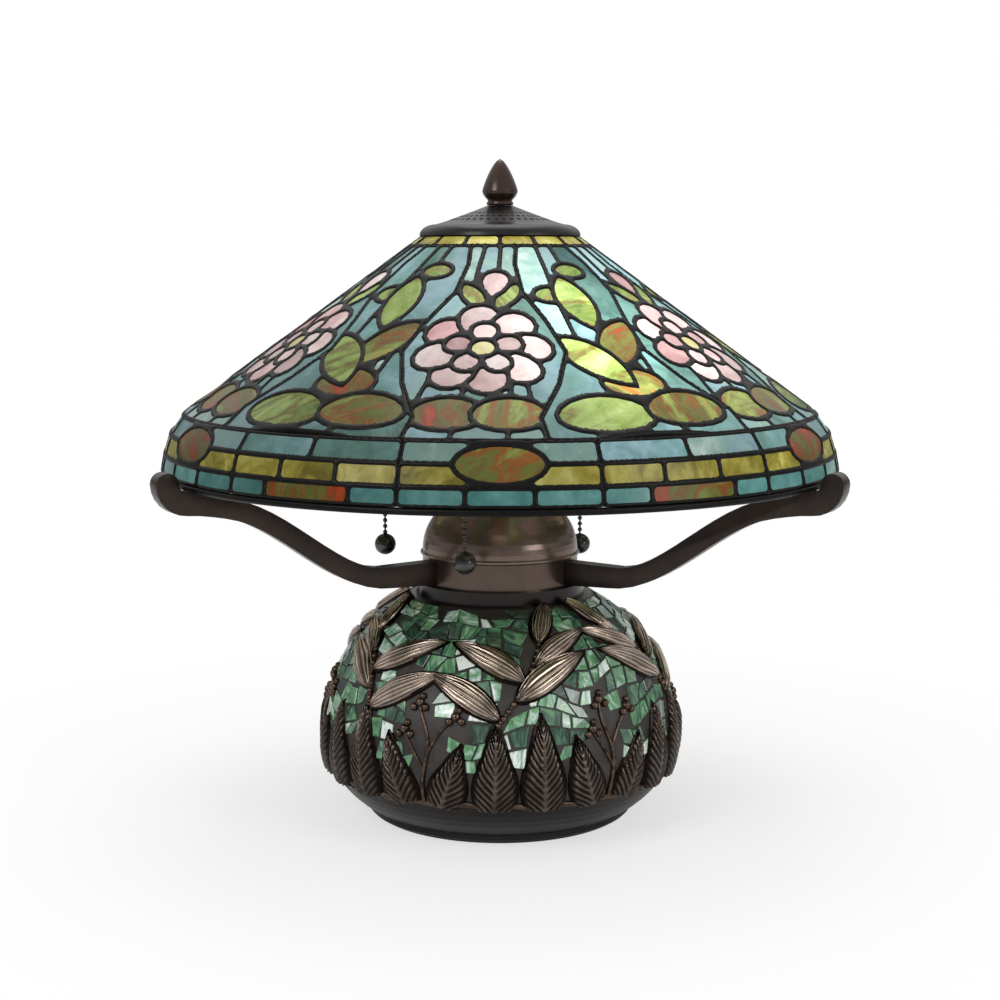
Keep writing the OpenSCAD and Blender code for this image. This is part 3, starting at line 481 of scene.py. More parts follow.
def glow_group(bulbs: Sequence[tuple[Colour, float]], reach: float) -> bpy.types.NodeTree:
    """Build the group that says how much bulb light reaches a place on the shade.

    Args:
        bulbs: middles of the bulbs' light on the shade, each with its strength.
        reach: distance at which a bulb's light has halved.

    Returns:
        The node group.
    """
    tree, _, out = new_group("bulb_light", {}, ("Glow",))
    place = tree.place()
    total: Any = 0.0
    for bulb, strength in bulbs:
        far = tree.add("ShaderNodeVectorMath", {0: place, 1: bulb}, operation="DISTANCE").outputs["Value"]
        square = tree.math("POWER", tree.math("DIVIDE", far, reach), 2.0)
        near = tree.math("DIVIDE", strength, tree.math("ADD", 1.0, square))
        total = tree.math("ADD", total, near)
    tree.tree.links.new(tree.math("POWER", total, GLOW_POWER), out.inputs["Glow"])
    return tree.tree


@dataclass
class EffectGroups:
    """The shared shader groups, built once."""

    cloud: bpy.types.NodeTree = field(default_factory=cloud_group)
    sheet: bpy.types.NodeTree = field(default_factory=sheet_group)
    glow: bpy.types.NodeTree = field(default_factory=lambda: glow_group(BULB_LIGHT, BULB_REACH))


class Finish:
    """A material in the making: a Principled shader in a tree of its own."""

    def __init__(self, name: str) -> None:
        """Start an empty material.

        Args:
            name: name of the material.
        """
        self.material = bpy.data.materials.new(name)
        self.material.use_nodes = True
        nodes = self.material.node_tree.nodes
        nodes.clear()
        self.tree = Tree(self.material.node_tree)
        self.shader = self.tree.add("ShaderNodeBsdfPrincipled")
        output = self.tree.add("ShaderNodeOutputMaterial")
        self.material.node_tree.links.new(self.shader.outputs[0], output.inputs[0])

    def group(self, tree: bpy.types.NodeTree, **values: float) -> bpy.types.Node:
        """Place a shared effect in this material with its own values."""
        node = self.tree.add("ShaderNodeGroup", node_tree=tree)
        for key, value in values.items():
            node.inputs[key].default_value = value
        return node

    def set(self, **values: Any) -> None:
        """Set or link inputs of the shader; a name's underscores stand for spaces."""
        for key, value in values.items():
            socket = self.shader.inputs[key.replace("_", " ")]
            if isinstance(value, bpy.types.NodeSocket):
                self.material.node_tree.links.new(value, socket)
            elif isinstance(value, tuple) and len(value) == 3:
                socket.default_value = (*value, 1.0)
            else:
                socket.default_value = value

    def bump(self, height: Any, strength: float, depth: float) -> None:
        """Feed the shader's Normal from a height."""
        node = self.tree.add("ShaderNodeBump", {"Strength": strength, "Distance": depth, "Height": height})
        self.set(Normal=node.outputs[0])


@dataclass(frozen=True)
class PatinaMetal:
    """Cast or spun metal with a dark patina, lighter where hand wear shows; on a relief the raised ridges are lighter
    still, as wear and a painted highlight.
    """

    name: str
    dark: Colour
    light: Colour
    metallic: float = 0.85
    rough: tuple[float, float] = (0.32, 0.5)
    scale: float = 30.0
    relief: str = ""
    grain: float = 0.12
    gloss: float = 0.5

    def make(self, groups: EffectGroups) -> bpy.types.Material:
        """Build the material.

        Args:
            groups: the shared effects.

        Returns:
            The material.
        """
        finish = Finish(self.name)
        tree = finish.tree
        cloud = finish.group(groups.cloud, Scale=self.scale, Grain=900.0)
        share = tree.math("MULTIPLY", cloud.outputs["Cloud"], 0.55)
        # Raised parts of a relief are lighter: wear and a painted highlight on the ridges.
        if self.relief:
            raised = tree.add("ShaderNodeAttribute", attribute_name=self.relief).outputs["Fac"]
            raised = tree.math("POWER", raised, 1.55)
            share = tree.math("MULTIPLY", raised, tree.between(cloud.outputs["Cloud"], 0.40, 1.0))
        finish.set(
            Base_Color=tree.mix(share, self.dark, self.light),
            Metallic=self.metallic,
            Roughness=tree.between(cloud.outputs["Cloud"], *self.rough),
            Specular_IOR_Level=self.gloss,
        )
        finish.bump(cloud.outputs["Grain"], self.grain, 0.4 * MM)
        return finish.material


@dataclass(frozen=True)
class ArtGlass:
    """Streaky opalescent glass that is lit from behind."""

    name: str
    stops: tuple[tuple[float, Colour], ...]
    scale: float = 14.0
    stretch: float = 3.5
    swirl: float = 1.2
    spread: float = 0.45
    lit: tuple[float, float] = (0.30, 0.44)
    rough: tuple[float, float] = (0.16, 0.32)
    ripple: float = 0.25
    unlit: float = 0.15
    gloss: float = 0.13

    def make(self, groups: EffectGroups) -> bpy.types.Material:
        """Build the material.

        Args:
            groups: the shared effects.

        Returns:
            The material.
        """
        finish = Finish(self.name)
        tree = finish.tree
        sheet = finish.group(groups.sheet, Scale=self.scale, Stretch=self.stretch, Swirl=self.swirl)
        streak = tree.math("MULTIPLY", sheet.outputs["Streak"], 1.0 - self.spread)
        tone = tree.math("MULTIPLY", sheet.outputs["Tone"], self.spread)
        along = tree.math("ADD", streak, tone)
        along = tree.math("ADD", along, tree.between(sheet.outputs["Mottle"], -0.07, 0.07), clamp=True)
        colour = tree.ramp(along, self.stops)
        glow = finish.group(groups.glow).outputs["Glow"]
        lit = tree.math("ADD", self.lit[0], tree.math("MULTIPLY", glow, self.lit[1]))
        lit = tree.math("MULTIPLY", lit, tree.between(sheet.outputs["Mottle"], 0.85, 1.15))
        lit = tree.math("MULTIPLY", lit, tree.between(sheet.outputs["Light"], 0.72, 1.28))
        shine = tree.add("ShaderNodeVectorMath", {0: colour, "Scale": lit}, operation="SCALE")
        body = tree.add("ShaderNodeVectorMath", {0: colour, "Scale": self.unlit}, operation="SCALE")
        finish.set(
            Base_Color=body.outputs[0],
            Roughness=tree.between(sheet.outputs["Mottle"], *self.rough),
            Emission_Color=shine.outputs[0],
            Emission_Strength=1.0,
            Specular_IOR_Level=self.gloss,
            IOR=1.5,
        )
        finish.bump(sheet.outputs["Ripple"], self.ripple, 0.8 * MM)
        return finish.material


@dataclass(frozen=True)
class PlainGrain:
    """A dull material with soft patches and grain: felt, rubber, ceramic, grout."""

    name: str
    dark: Colour
    light: Colour
    rough: tuple[float, float] = (0.6, 0.85)
    scale: float = 60.0
    fine: float = 1500.0
    bump: float = 0.3

    def make(self, groups: EffectGroups) -> bpy.types.Material:
        """Build the material.

        Args:
            groups: the shared effects.

        Returns:
            The material.
        """
        finish = Finish(self.name)
        cloud = finish.group(groups.cloud, Scale=self.scale, Grain=self.fine)
        tree = finish.tree
        finish.set(
            Base_Color=tree.mix(cloud.outputs["Cloud"], self.dark, self.light),
            Roughness=tree.between(cloud.outputs["Grain"], *self.rough),
        )
        finish.bump(cloud.outputs["Grain"], self.bump, 0.3 * MM)
        return finish.material


# ---- pot


@dataclass(frozen=True)
class PotForm:
    """Outside of the pot: an ellipse above the belly and a fuller curve below it."""

    belly_r: float = 122 * MM
    belly_z: float = 58 * MM
    shoulder_r: float = 62 * MM
    shoulder_z: float = 152 * MM
    foot_r: float = 92 * MM
    foot_top: float = 6.5 * MM
    power: float = 2.5

    def radius(self, z: np.ndarray) -> np.ndarray:
        """Radius of the pot at a height.

        Args:
            z: heights above the table.

        Returns:
            Radii.
        """
        up = (self.shoulder_z - self.belly_z) / math.sqrt(1 - (self.shoulder_r / self.belly_r) ** 2)
        share = 1 - ((self.foot_r + MM) / self.belly_r) ** 2
        down = (self.belly_z - self.foot_top) / share ** (1 / self.power)
        rise = np.clip((z - self.belly_z) / up, 0, 0.999)
        fall = np.clip((self.belly_z - z) / down, 0, 0.999)
        return self.belly_r * np.where(z > self.belly_z, np.sqrt(1 - rise**2), np.sqrt(1 - fall**self.power))

    def arc_table(self) -> tuple[np.ndarray, np.ndarray]:
        """Heights and the distances along the wall to them, from the foot up."""
        z = np.linspace(self.foot_top, self.shoulder_z, 800)
        r = self.radius(z)
        step = np.hypot(np.diff(z), np.diff(r))
        return z, np.concatenate([[0.0], np.cumsum(step)])

    def arc(self, z: float | np.ndarray) -> np.ndarray:
        """Distance along the wall from the foot to a height."""
        heights, arcs = self.arc_table()
        return np.interp(z, heights, arcs)

    def points(self, azimuth: float, side: np.ndarray, arc: np.ndarray, lift: np.ndarray) -> np.ndarray:
        """Places on the wall.

        Args:
            azimuth: middle of the piece, in radians.
            side: distance round the pot from the middle.
            arc: distance along the wall from the foot.
            lift: distance out of the wall.

        Returns:
            Positions, one row each.
        """
        heights, arcs = self.arc_table()
        z = np.interp(arc, arcs, heights)
        r = self.radius(z)
        slope = (self.radius(z + 0.2 * MM) - self.radius(z - 0.2 * MM)) / (0.4 * MM)
        long = np.sqrt(1 + slope**2)
        angle = azimuth + side / r
        out = r + lift / long
        return np.stack([out * np.cos(angle), out * np.sin(angle), z - lift * slope / long], axis=1)


@dataclass(frozen=True)
class ReliefLeaf:
    """A raised leaf or frond on the pot, placed by its middle and its direction."""

    azimuth: float
    height: float
    turn: float
    length: float
    width: float
    rise: float
    bow: float = 0.0
    frond: bool = False
    side: float = 0.0
    skirt: float = 2.2 * MM
    skirt_lift: float = 1.55 * MM

    def half_width(self, u: np.ndarray) -> np.ndarray:
        """Half of the leaf's width along its length.

        Args:
            u: 0 at the base and 1 at the tip.

        Returns:
            Half widths.
        """
        u = np.clip(u, 0.0, 1.0)
        if self.frond:
            return self.width / 2 * (1 - u**2.2) ** 0.9 * (0.82 + 0.18 * np.sin(math.pi * np.clip(u * 1.6, 0, 1)))
        return self.width / 2 * np.sin(math.pi * u**0.85) ** 0.8

    def lift(self, u: np.ndarray, w: np.ndarray) -> tuple[np.ndarray, np.ndarray]:
        """Height of the relief over the wall, and how far its ridges are lighter, as wear and a painted highlight.

        Args:
            u: 0 at the base and 1 at the tip.
            w: -1 at one edge of the leaf and 1 at the other.

        Returns:
            Heights and shares of lighter metal: wear and a painted highlight.
        """
        side = np.abs(w)
        crown = (1 - side**3) * np.clip(4.0 * (1 - u), 0, 1) ** 0.5
        if self.frond:
            rows = u * self.length / (4.6 * MM) - side * self.width / 2 / (5.0 * MM)
            wave = 0.5 + 0.5 * np.cos(2 * math.pi * rows)
            fade = np.clip(5 * (1 - side), 0, 1) * np.clip(side * 9, 0, 1)
            ridge = wave * fade
            mid = np.exp(-((w / 0.09) ** 2))
            rise = self.skirt_lift + self.rise * crown + 1.25 * MM * ridge + 1.1 * MM * mid
        else:
            crown = crown * np.clip(6 * u, 0.15, 1) ** 0.5
            wobble = 0.05 * np.sin(9 * u + 40 * self.side / MM) + 0.03 * np.sin(21 * u + 3 * self.azimuth)
            ridge = np.zeros_like(w)
            for place in (-0.68, -0.36, 0.34, 0.66):
                ridge = np.maximum(ridge, np.exp(-(((w - place - wobble * place) / 0.075) ** 2)))
            ridge = ridge * np.clip(6 * (1 - u), 0, 1) * np.clip(9 * u, 0, 1)
            rim = np.exp(-(((side - 0.94) / 0.06) ** 2))
            mid = np.maximum(np.exp(-((w / 0.075) ** 2)), rim)
            rise = self.skirt_lift + self.rise * crown + 0.6 * MM * ridge + 0.8 * MM * mid
        # Share of lighter metal on the crown and the ridges: wear plus a painted highlight on the raised parts.
        crown_wear_and_highlight, bright = (0.0, 0.36) if self.frond else (0.44, 0.95)
        return rise, np.clip(crown_wear_and_highlight * crown + bright * (ridge + mid), 0, 1)

    def covers(self, pot: PotForm, azimuth: np.ndarray, arc: np.ndarray) -> np.ndarray:
        """Whether places on the wall lie under this leaf.

        Args:
            pot: the pot.
            azimuth: directions of the places, in radians.
            arc: distances along the wall.

        Returns:
            True where a place is covered.
        """
        heights, arcs = pot.arc_table()
        away = (azimuth - self.azimuth + math.pi) % (2 * math.pi) - math.pi
        across = away * pot.radius(np.interp(arc, arcs, heights)) - self.side
        up = arc - pot.arc(self.height)
        along = across * math.cos(self.turn) + up * math.sin(self.turn)
        off = -across * math.sin(self.turn) + up * math.cos(self.turn)
        u = along / self.length + 0.5
        off = off - self.bow * (1 - (2 * u - 1) ** 2)
        return (u > 0) & (u < 1) & (np.abs(off) < self.half_width(u) + self.skirt)

    def build(self, pot: PotForm, name: str) -> bpy.types.Object:
        """Model the leaf as a sheet shaped to the wall.

        Args:
            pot: the pot.
            name: name of the piece.

        Returns:
            The new object, with its share of wear and painted highlight stored as relief for the patina.
        """
        along = int(self.length / ((0.6 if self.frond else 1.1) * MM))
        across = 32 if self.frond else 36
        obj = grid_sheet(name, along, across)
        flat = coordinates(obj)
        inner = 1 - 4 / across
        w = np.clip(flat[:, 1] / inner, -1, 1)
        out = np.clip((np.abs(flat[:, 1]) - inner) / (1 - inner), 0, 1)
        end = self.skirt / self.length
        u_all = (flat[:, 0] + 1) / 2 * (1 + 2 * end) - end
        u = np.clip(u_all, 0, 1)
        past = np.clip(np.abs(u_all - u) / end, 0, 1)
        half = self.half_width(u)
        wide = half * w + np.sign(flat[:, 1]) * self.skirt * out * np.sqrt(np.clip(1 - past**2, 0, 1))
        lift, wear_and_highlight = self.lift(u, w)
        ring = np.maximum(out, past)
        lift = np.where(ring > 0, self.skirt_lift * np.clip(3 * (1 - ring), 0, 1) - 0.9 * MM * (ring > 0.99), lift)
        reach = self.length * (u_all - 0.5)
        off = wide + self.bow * (1 - (2 * u - 1) ** 2)
        side = reach * math.cos(self.turn) - off * math.sin(self.turn) + self.side
        arc = pot.arc(self.height) + reach * math.sin(self.turn) + off * math.cos(self.turn)
        reshape(obj, pot.points(self.azimuth, side, arc, lift))
        # The relief attribute holds the lighter share: wear and a painted highlight on the ridges.
        point_value(obj, "relief", wear_and_highlight * (ring == 0))
        return obj


@dataclass
class MosaicPot:
    """Cast pot: leaf sprigs and a frond frieze in relief over a glass mosaic."""

    form: PotForm = field(default_factory=PotForm)
    bays: int = 6
    frieze_z: float = 34 * MM
    tile: float = 10.5 * MM
    grout: float = 1.3 * MM
    tile_lift: float = 1.0 * MM
    tile_foot: float = -0.6 * MM
    tile_chamfer: float = 0.35 * MM
    tile_zone: tuple[float, float] = (37 * MM, 150.4 * MM)
    tile_rows: tuple[float, float] = (40 * MM, 152 * MM)
    least_tile: float = 2.5 * MM
    most_covered: int = 6
    twig_room: float = 2.6 * MM
    bare: float = 0.05
    seed: int = 11

    def bay_angle(self, bay: int) -> float:
        """Azimuth of the middle of a bay, in radians."""
        return math.radians(270 + 360 / self.bays * bay + 6)

    def fronds(self) -> list[ReliefLeaf]:
        """Upright fronds of the frieze: two tall and two short ones to a bay."""
        leaves = []
        for bay in range(self.bays):
            middle = self.bay_angle(bay)
            for side, length, width, lean in (
                (-15.5, 56, 29, 0.02),
                (15, 61, 29, -0.03),
                (-44, 42, 26, 0.30),
                (43, 46, 26, -0.26),
            ):
                base = self.frieze_z
                leaves.append(
                    ReliefLeaf(
                        middle, base + 0.47 * length * MM, math.pi / 2 - lean, length * MM, width * MM, 2.4 * MM,
                        frond=True, side=side * MM,
                    )
                )
        return leaves

    def sprig_line(self, bay: int) -> tuple[np.ndarray, np.ndarray]:
        """Stem of a bay's sprig, as distances round the pot and along the wall."""
        lean = 16 * MM * (1 if bay % 2 else -1)
        t = np.linspace(0, 1, 14)
        side = lean * (1 - 2 * t) + 5 * MM * np.sin(math.pi * t)
        arc = self.form.arc(84 * MM) + t * 58 * MM
        return side, arc

    def sprigs(self) -> list[ReliefLeaf]:
        """Leaves of the sprigs, set by turns on both sides of their stems."""
        leaves = []
        heights, arcs = self.form.arc_table()
        for bay in range(self.bays):
            side, arc = self.sprig_line(bay)
            hand = 1 if bay % 2 else -1
            for t, way, length, width in (
                (0.10, 1, 54, 17),
                (0.30, -1, 58, 18),
                (0.52, 1, 52, 17),
                (0.70, -1, 46, 15),
                (0.97, 0, 40, 14),
            ):
                at = t * (len(side) - 1)
                s = float(np.interp(at, range(len(side)), side))
                a = float(np.interp(at, range(len(arc)), arc))
                turn = math.pi / 2 - way * hand * 1.02 + 0.22 * hand * (1 if way == 0 else 0)
                middle_s = s + (length / 2 + 1) * MM * math.cos(turn)
                middle_a = a + (length / 2 + 1) * MM * math.sin(turn)
                height = float(np.interp(middle_a, arcs, heights))
                leaves.append(
                    ReliefLeaf(
                        self.bay_angle(bay), height, turn, length * MM, width * MM, 2.7 * MM,
                        bow=2.5 * MM * way * hand, side=middle_s,
                    )
                )
        return leaves

    def twig_lines(self) -> list[tuple[float, np.ndarray, np.ndarray, float]]:
        """Stems and twigs, each with its azimuth, its line on the wall and its thickness."""
        lines = []
        for bay in range(self.bays):
            side, arc = self.sprig_line(bay)
            lines.append((self.bay_angle(bay), side, arc, 1.5 * MM))
            gap = self.bay_angle(bay) + math.pi / self.bays
            t = np.linspace(0, 1, 16)
            wave = 6 * MM * np.sin(5.5 * t + bay) * t
            low = self.form.arc(36 * MM)
            lines.append((gap, wave, low + 62 * MM * t, 1.7 * MM))
            lines.append((gap, wave[8] + 17 * MM * t, low + (32 + 22 * t + 4 * np.sin(3 * t)) * MM, 1.2 * MM))
            lines.append((gap, wave[5] - 15 * MM * t, low + (20 + 24 * t) * MM, 1.2 * MM))
        return lines

    def build_twigs(self) -> bpy.types.Object:
        """Model the stems and twigs as tubes along the wall.

        Returns:
            The joined twigs.
        """
        parts = []
        for number, (azimuth, side, arc, thick) in enumerate(self.twig_lines()):
            points = self.form.points(azimuth, side, arc, np.full(len(side), 0.6 * MM))
            curve = bpy.data.curves.new(f"twig_{number}", "CURVE")
            curve.dimensions = "3D"
            curve.bevel_depth = thick
            curve.bevel_resolution = 2
            curve.use_fill_caps = True
            spline = curve.splines.new("POLY")
            spline.points.add(len(points) - 1)
            taper = np.linspace(1.0, 0.6, len(points))
            for point, place, radius in zip(spline.points, points, taper):
                point.co = (*place, 1.0)
                point.radius = radius
            obj = bpy.data.objects.new(f"twig_{number}", curve)
            bpy.context.scene.collection.objects.link(obj)
            select_only(obj)
            bpy.ops.object.convert(target="MESH")
            parts.append(bpy.context.active_object)
        return joined(parts, "relief_twigs")

    def build_lip(self) -> bpy.types.Object:
        """Model the uneven lip that ends the relief above the plain foot band.

        Returns:
            The lip.
        """
        bpy.ops.object.select_all(action="DESELECT")
        bpy.ops.mesh.primitive_torus_add(
            major_segments=180, minor_segments=10, major_radius=1.0, minor_radius=0.25, location=(0, 0, 0)
        )
        obj = bpy.context.active_object
        flat = coordinates(obj)
        angle = np.arctan2(flat[:, 1], flat[:, 0])
        out = (np.hypot(flat[:, 0], flat[:, 1]) - 1.0) / 0.25
        up = flat[:, 2] / 0.25
        wave = 0.9 * np.sin(24 * angle) + 0.6 * np.sin(7 * angle + 1.0)
        arc = self.form.arc(self.frieze_z) + (wave + 2.0 * up) * MM
        lift = (0.5 + 1.6 * out) * MM
        reshape(obj, self.form.points(0.0, angle * self.form.radius(self.height_at(arc)), arc, lift))
        obj.name = "relief_lip"
        return obj

    def height_at(self, arc: np.ndarray) -> np.ndarray:
        """Height of a place along the wall."""
        heights, arcs = self.form.arc_table()
        return np.interp(arc, arcs, heights)

    def berries(self) -> list[tuple[float, float, float, float]]:
        """Beads on the stems and berries at the twigs' ends: azimuth, side, arc and radius."""
        beads = []
        for number, (azimuth, side, arc, _) in enumerate(self.twig_lines()):
            if number % 4 == 0:
                for t in np.linspace(0.05, 0.98, 13):
                    at = t * (len(side) - 1)
                    s = np.interp(at, range(len(side)), side)
                    a = np.interp(at, range(len(arc)), arc)
                    beads.append((azimuth, s, a, (2.5 - 0.9 * t) * MM))
            else:
                s, a = side[-1], arc[-1]
                for ds, da, r in ((0, 2, 3.2), (4.2, -1, 2.8), (-4.0, -1.4, 2.8), (1.5, 6, 2.3)):
                    beads.append((azimuth, s + ds * MM, a + da * MM, r * MM))
        return beads

    def build_berries(self) -> bpy.types.Object:
        """Model one bead and copy it to every place along the twigs.

        Returns:
            The joined beads.
        """
        bpy.ops.object.select_all(action="DESELECT")
        bpy.ops.mesh.primitive_ico_sphere_add(subdivisions=2, radius=1.0)
        first = bpy.context.active_object
        ball = coordinates(first)
        copies = []
        for number, (azimuth, side, arc, radius) in enumerate(self.berries()):
            place = self.form.points(azimuth, np.array([side]), np.array([arc]), np.array([1.0 * MM]))[0]
            obj = bpy.data.objects.new(f"bead_{number}", first.data.copy())
            bpy.context.scene.collection.objects.link(obj)
            reshape(obj, ball * radius + place)
            copies.append(obj)
        bpy.data.objects.remove(first)
        return joined(copies, "relief_berries")

    def build_tiles(self, leaves: Sequence[ReliefLeaf]) -> bpy.types.Object:
        """Lay irregular glass tiles wherever the relief leaves room.

        Args:
            leaves: the leaves and fronds to stay clear of.

        Returns:
            The tiles, with a tone stored for each one.
        """
        rng = np.random.default_rng(self.seed)
        heights, arcs = self.form.arc_table()
        verts: list[np.ndarray] = []
        faces: list[tuple[int, ...]] = []
        tones: list[np.ndarray] = []
        first, last = self.form.arc(np.array(self.tile_rows))
        bottom, cut = self.form.arc(np.array(self.tile_zone))
        rows = np.arange(first, last + 4 * MM, self.tile)
        for row, low in enumerate(rows):
            radius = float(self.form.radius(np.interp(low + self.tile / 2, arcs, heights)))
            count = int(2 * math.pi * radius / self.tile)
            cuts = (np.arange(count) + rng.uniform(-0.28, 0.28, count)) * FULL_TURN / count + rng.uniform(0, 1)
            slant = rng.uniform(-0.2, 0.2, count) * self.tile
            for i in range(count):
                if rng.random() < self.bare:
                    continue
                a0, a1 = cuts[i], cuts[(i + 1) % count] + (FULL_TURN if i == count - 1 else 0)
                middle = (a0 + a1) / 2
                half = (a1 - a0) / 2 * radius - self.grout / 2
                s0, s1 = slant[i], slant[(i + 1) % count]
                side = np.array([-half - s0, half - s1, half + s1, -half + s0])
                top_arc = low + self.tile - self.grout / 2
                arc = np.array([low + self.grout / 2, low + self.grout / 2, top_arc, top_arc])
                side, arc = self.laid(middle, side, arc + rng.uniform(-0.6, 0.6, 4) * MM)
                if arc[:2].max() > cut - self.least_tile or arc.min() < bottom:
                    continue
                arc = np.minimum(arc, cut)
                test_side = np.concatenate([side, [side.mean()], (side + np.roll(side, 1)) / 2])
                test_arc = np.concatenate([arc, [arc.mean()], (arc + np.roll(arc, 1)) / 2])
                azimuths = middle + test_side / radius
                under = np.zeros(len(test_arc), dtype=bool)
                for leaf in leaves:
                    under |= leaf.covers(self.form, azimuths, test_arc)
                if under.sum() > self.most_covered or self.near_twig(azimuths[4:], test_arc[4:]):
                    continue
                lift = self.tile_lift + rng.uniform(-0.15, 0.15) * MM + rng.uniform(-0.12, 0.12, 4) * MM
                inner = (side * 0.92 + side.mean() * 0.08, arc * 0.92 + arc.mean() * 0.08)
                top = self.form.points(middle, inner[0], inner[1], lift)
                rim = self.form.points(middle, side, arc, lift - self.tile_chamfer)
                foot = self.form.points(middle, side, arc, np.full(4, self.tile_foot))
                n = 12 * len(verts)
                verts.append(np.concatenate([top, rim, foot]))
                faces.append((n, n + 1, n + 2, n + 3))
                for k in range(4):
                    m = (k + 1) % 4
                    faces.append((n + 4 + k, n + 4 + m, n + m, n + k))
                    faces.append((n + 8 + k, n + 8 + m, n + 4 + m, n + 4 + k))
                faces.append((n + 11, n + 10, n + 9, n + 8))
                patch = 0.5 + 0.5 * math.sin(5 * middle + 1.3 * row) * math.cos(3 * middle - 0.9 * row)
                tone = np.array([0.55 * patch + 0.45 * rng.random(), rng.random(), rng.random()])
                tones.append(np.tile(tone, (12, 1)))
        data = bpy.data.meshes.new("mosaic_blocks")
        data.from_pydata(np.concatenate(verts).tolist(), [], faces)
        obj = bpy.data.objects.new("mosaic_blocks", data)
        bpy.context.scene.collection.objects.link(obj)
        point_colour(obj, "pane", np.concatenate(tones))
        return obj

    def laid(self, middle: float, side: np.ndarray, arc: np.ndarray) -> tuple[np.ndarray, np.ndarray]:
        """Bend the straight courses of tiles into uneven, hand-laid ones.

        Args:
            middle: azimuth of a tile's middle.
            side: distances of its corners round the pot from there.
            arc: distances of its corners along the wall.

        Returns:
            The bent distances.
        """
        angle = middle + side / self.form.belly_r
        high = arc / MM
        up = 4.2 * np.sin(7 * angle + 0.05 * high) + 2.6 * np.sin(13 * angle - 0.07 * high + 1.0)
        along = 3.2 * np.sin(0.085 * high + 5 * angle) + 1.6 * np.sin(0.19 * high - 9 * angle)
        return side + along * MM, arc + up * MM

    def near_twig(self, azimuth: np.ndarray, arc: np.ndarray) -> bool:
        """Whether any of these places lies close to a twig."""
        heights, arcs = self.form.arc_table()
        radius = self.form.radius(np.interp(arc, arcs, heights))
        for middle, side, line, thick in self.twig_lines():
            away = (azimuth - middle + math.pi) % (2 * math.pi) - math.pi
            near = np.hypot((away * radius)[:, None] - side[None, :], arc[:, None] - line[None, :])
            if near.min() < thick + self.twig_room:
                return True
        return False

    def build(self, groups: EffectGroups) -> None:
        """Model the relief and the mosaic, and dress the pot and its foot.

        Args:
            groups: the shared effects.
        """
        # Bronze of the relief, lighter on its ridges as wear and a painted highlight.
        wear_and_highlight = PatinaMetal(
            "rubbed_bronze", (0.011, 0.008, 0.007), (0.76, 0.61, 0.50), 1.0, (0.15, 0.28), 70.0, relief="relief"
        ).make(groups)
        fronds, sprigs = self.fronds(), self.sprigs()
        for name, leaves in (("relief_fronds", fronds), ("relief_sprigs", sprigs)):
            sheets = [leaf.build(self.form, f"{name}_{i}") for i, leaf in enumerate(leaves)]
            obj = joined(sheets, name)
            smooth(obj, 70)
            finish_piece(obj, Body.BASE, "cast_bronze", wear_and_highlight, "pot_relief")
        twig = PatinaMetal(
            "twig_bronze", (0.022, 0.015, 0.012), (0.26, 0.175, 0.125), 0.95, (0.22, 0.36), 220.0
        ).make(groups)
        for obj in (self.build_lip(), self.build_twigs(), self.build_berries()):
            smooth(obj, 70)
            finish_piece(obj, Body.BASE, "cast_bronze", twig)
        tiles = self.build_tiles(fronds + sprigs)
        finish_piece(tiles, Body.BASE, "mosaic_glass", self.tile_glass(groups), "mosaic_tiles")
        dress(self.ground(groups), "pot")
        foot = PatinaMetal("foot_black", (0.006, 0.006, 0.006), (0.016, 0.014, 0.013), 0.3, (0.22, 0.36))
        felt = PlainGrain("felt", (0.012, 0.011, 0.011), (0.03, 0.028, 0.027), (0.9, 1.0), 90.0, 2600.0, 0.6)
        rubber = PlainGrain("black_rubber", (0.012, 0.012, 0.012), (0.03, 0.03, 0.03))
        for finish, node in ((foot, "foot_plate"), (felt, "felt_pad"), (rubber, "cord_bushing")):
            dress(finish.make(groups), node)

    def tile_glass(self, groups: EffectGroups) -> bpy.types.Material:
        """Pearly green and white glass of the mosaic.

        Args:
            groups: the shared effects.

        Returns:
            The material.
        """
        finish = Finish("mosaic_glass")
        tree = finish.tree
        sheet = finish.group(groups.sheet, Scale=55.0, Stretch=3.0, Swirl=1.5)
        along = tree.math("ADD", tree.math("MULTIPLY", sheet.outputs["Tone"], 0.72),
                          tree.math("MULTIPLY", sheet.outputs["Streak"], 0.28))
        colour = tree.ramp(tree.spread(along, 0.22, 0.80), (
            (0.0, (0.012, 0.030, 0.022)), (0.25, (0.030, 0.075, 0.050)), (0.45, (0.075, 0.18, 0.11)),
            (0.62, (0.11, 0.30, 0.12)), (0.8, (0.34, 0.50, 0.42)), (1.0, (0.78, 0.85, 0.81)),
        ))
        finish.set(Base_Color=colour, Roughness=tree.between(sheet.outputs["Mottle"], 0.08, 0.22), Coat_Weight=0.5,
                   Coat_Roughness=0.06, IOR=1.5)
        finish.bump(sheet.outputs["Ripple"], 0.2, 0.5 * MM)
        return finish.material

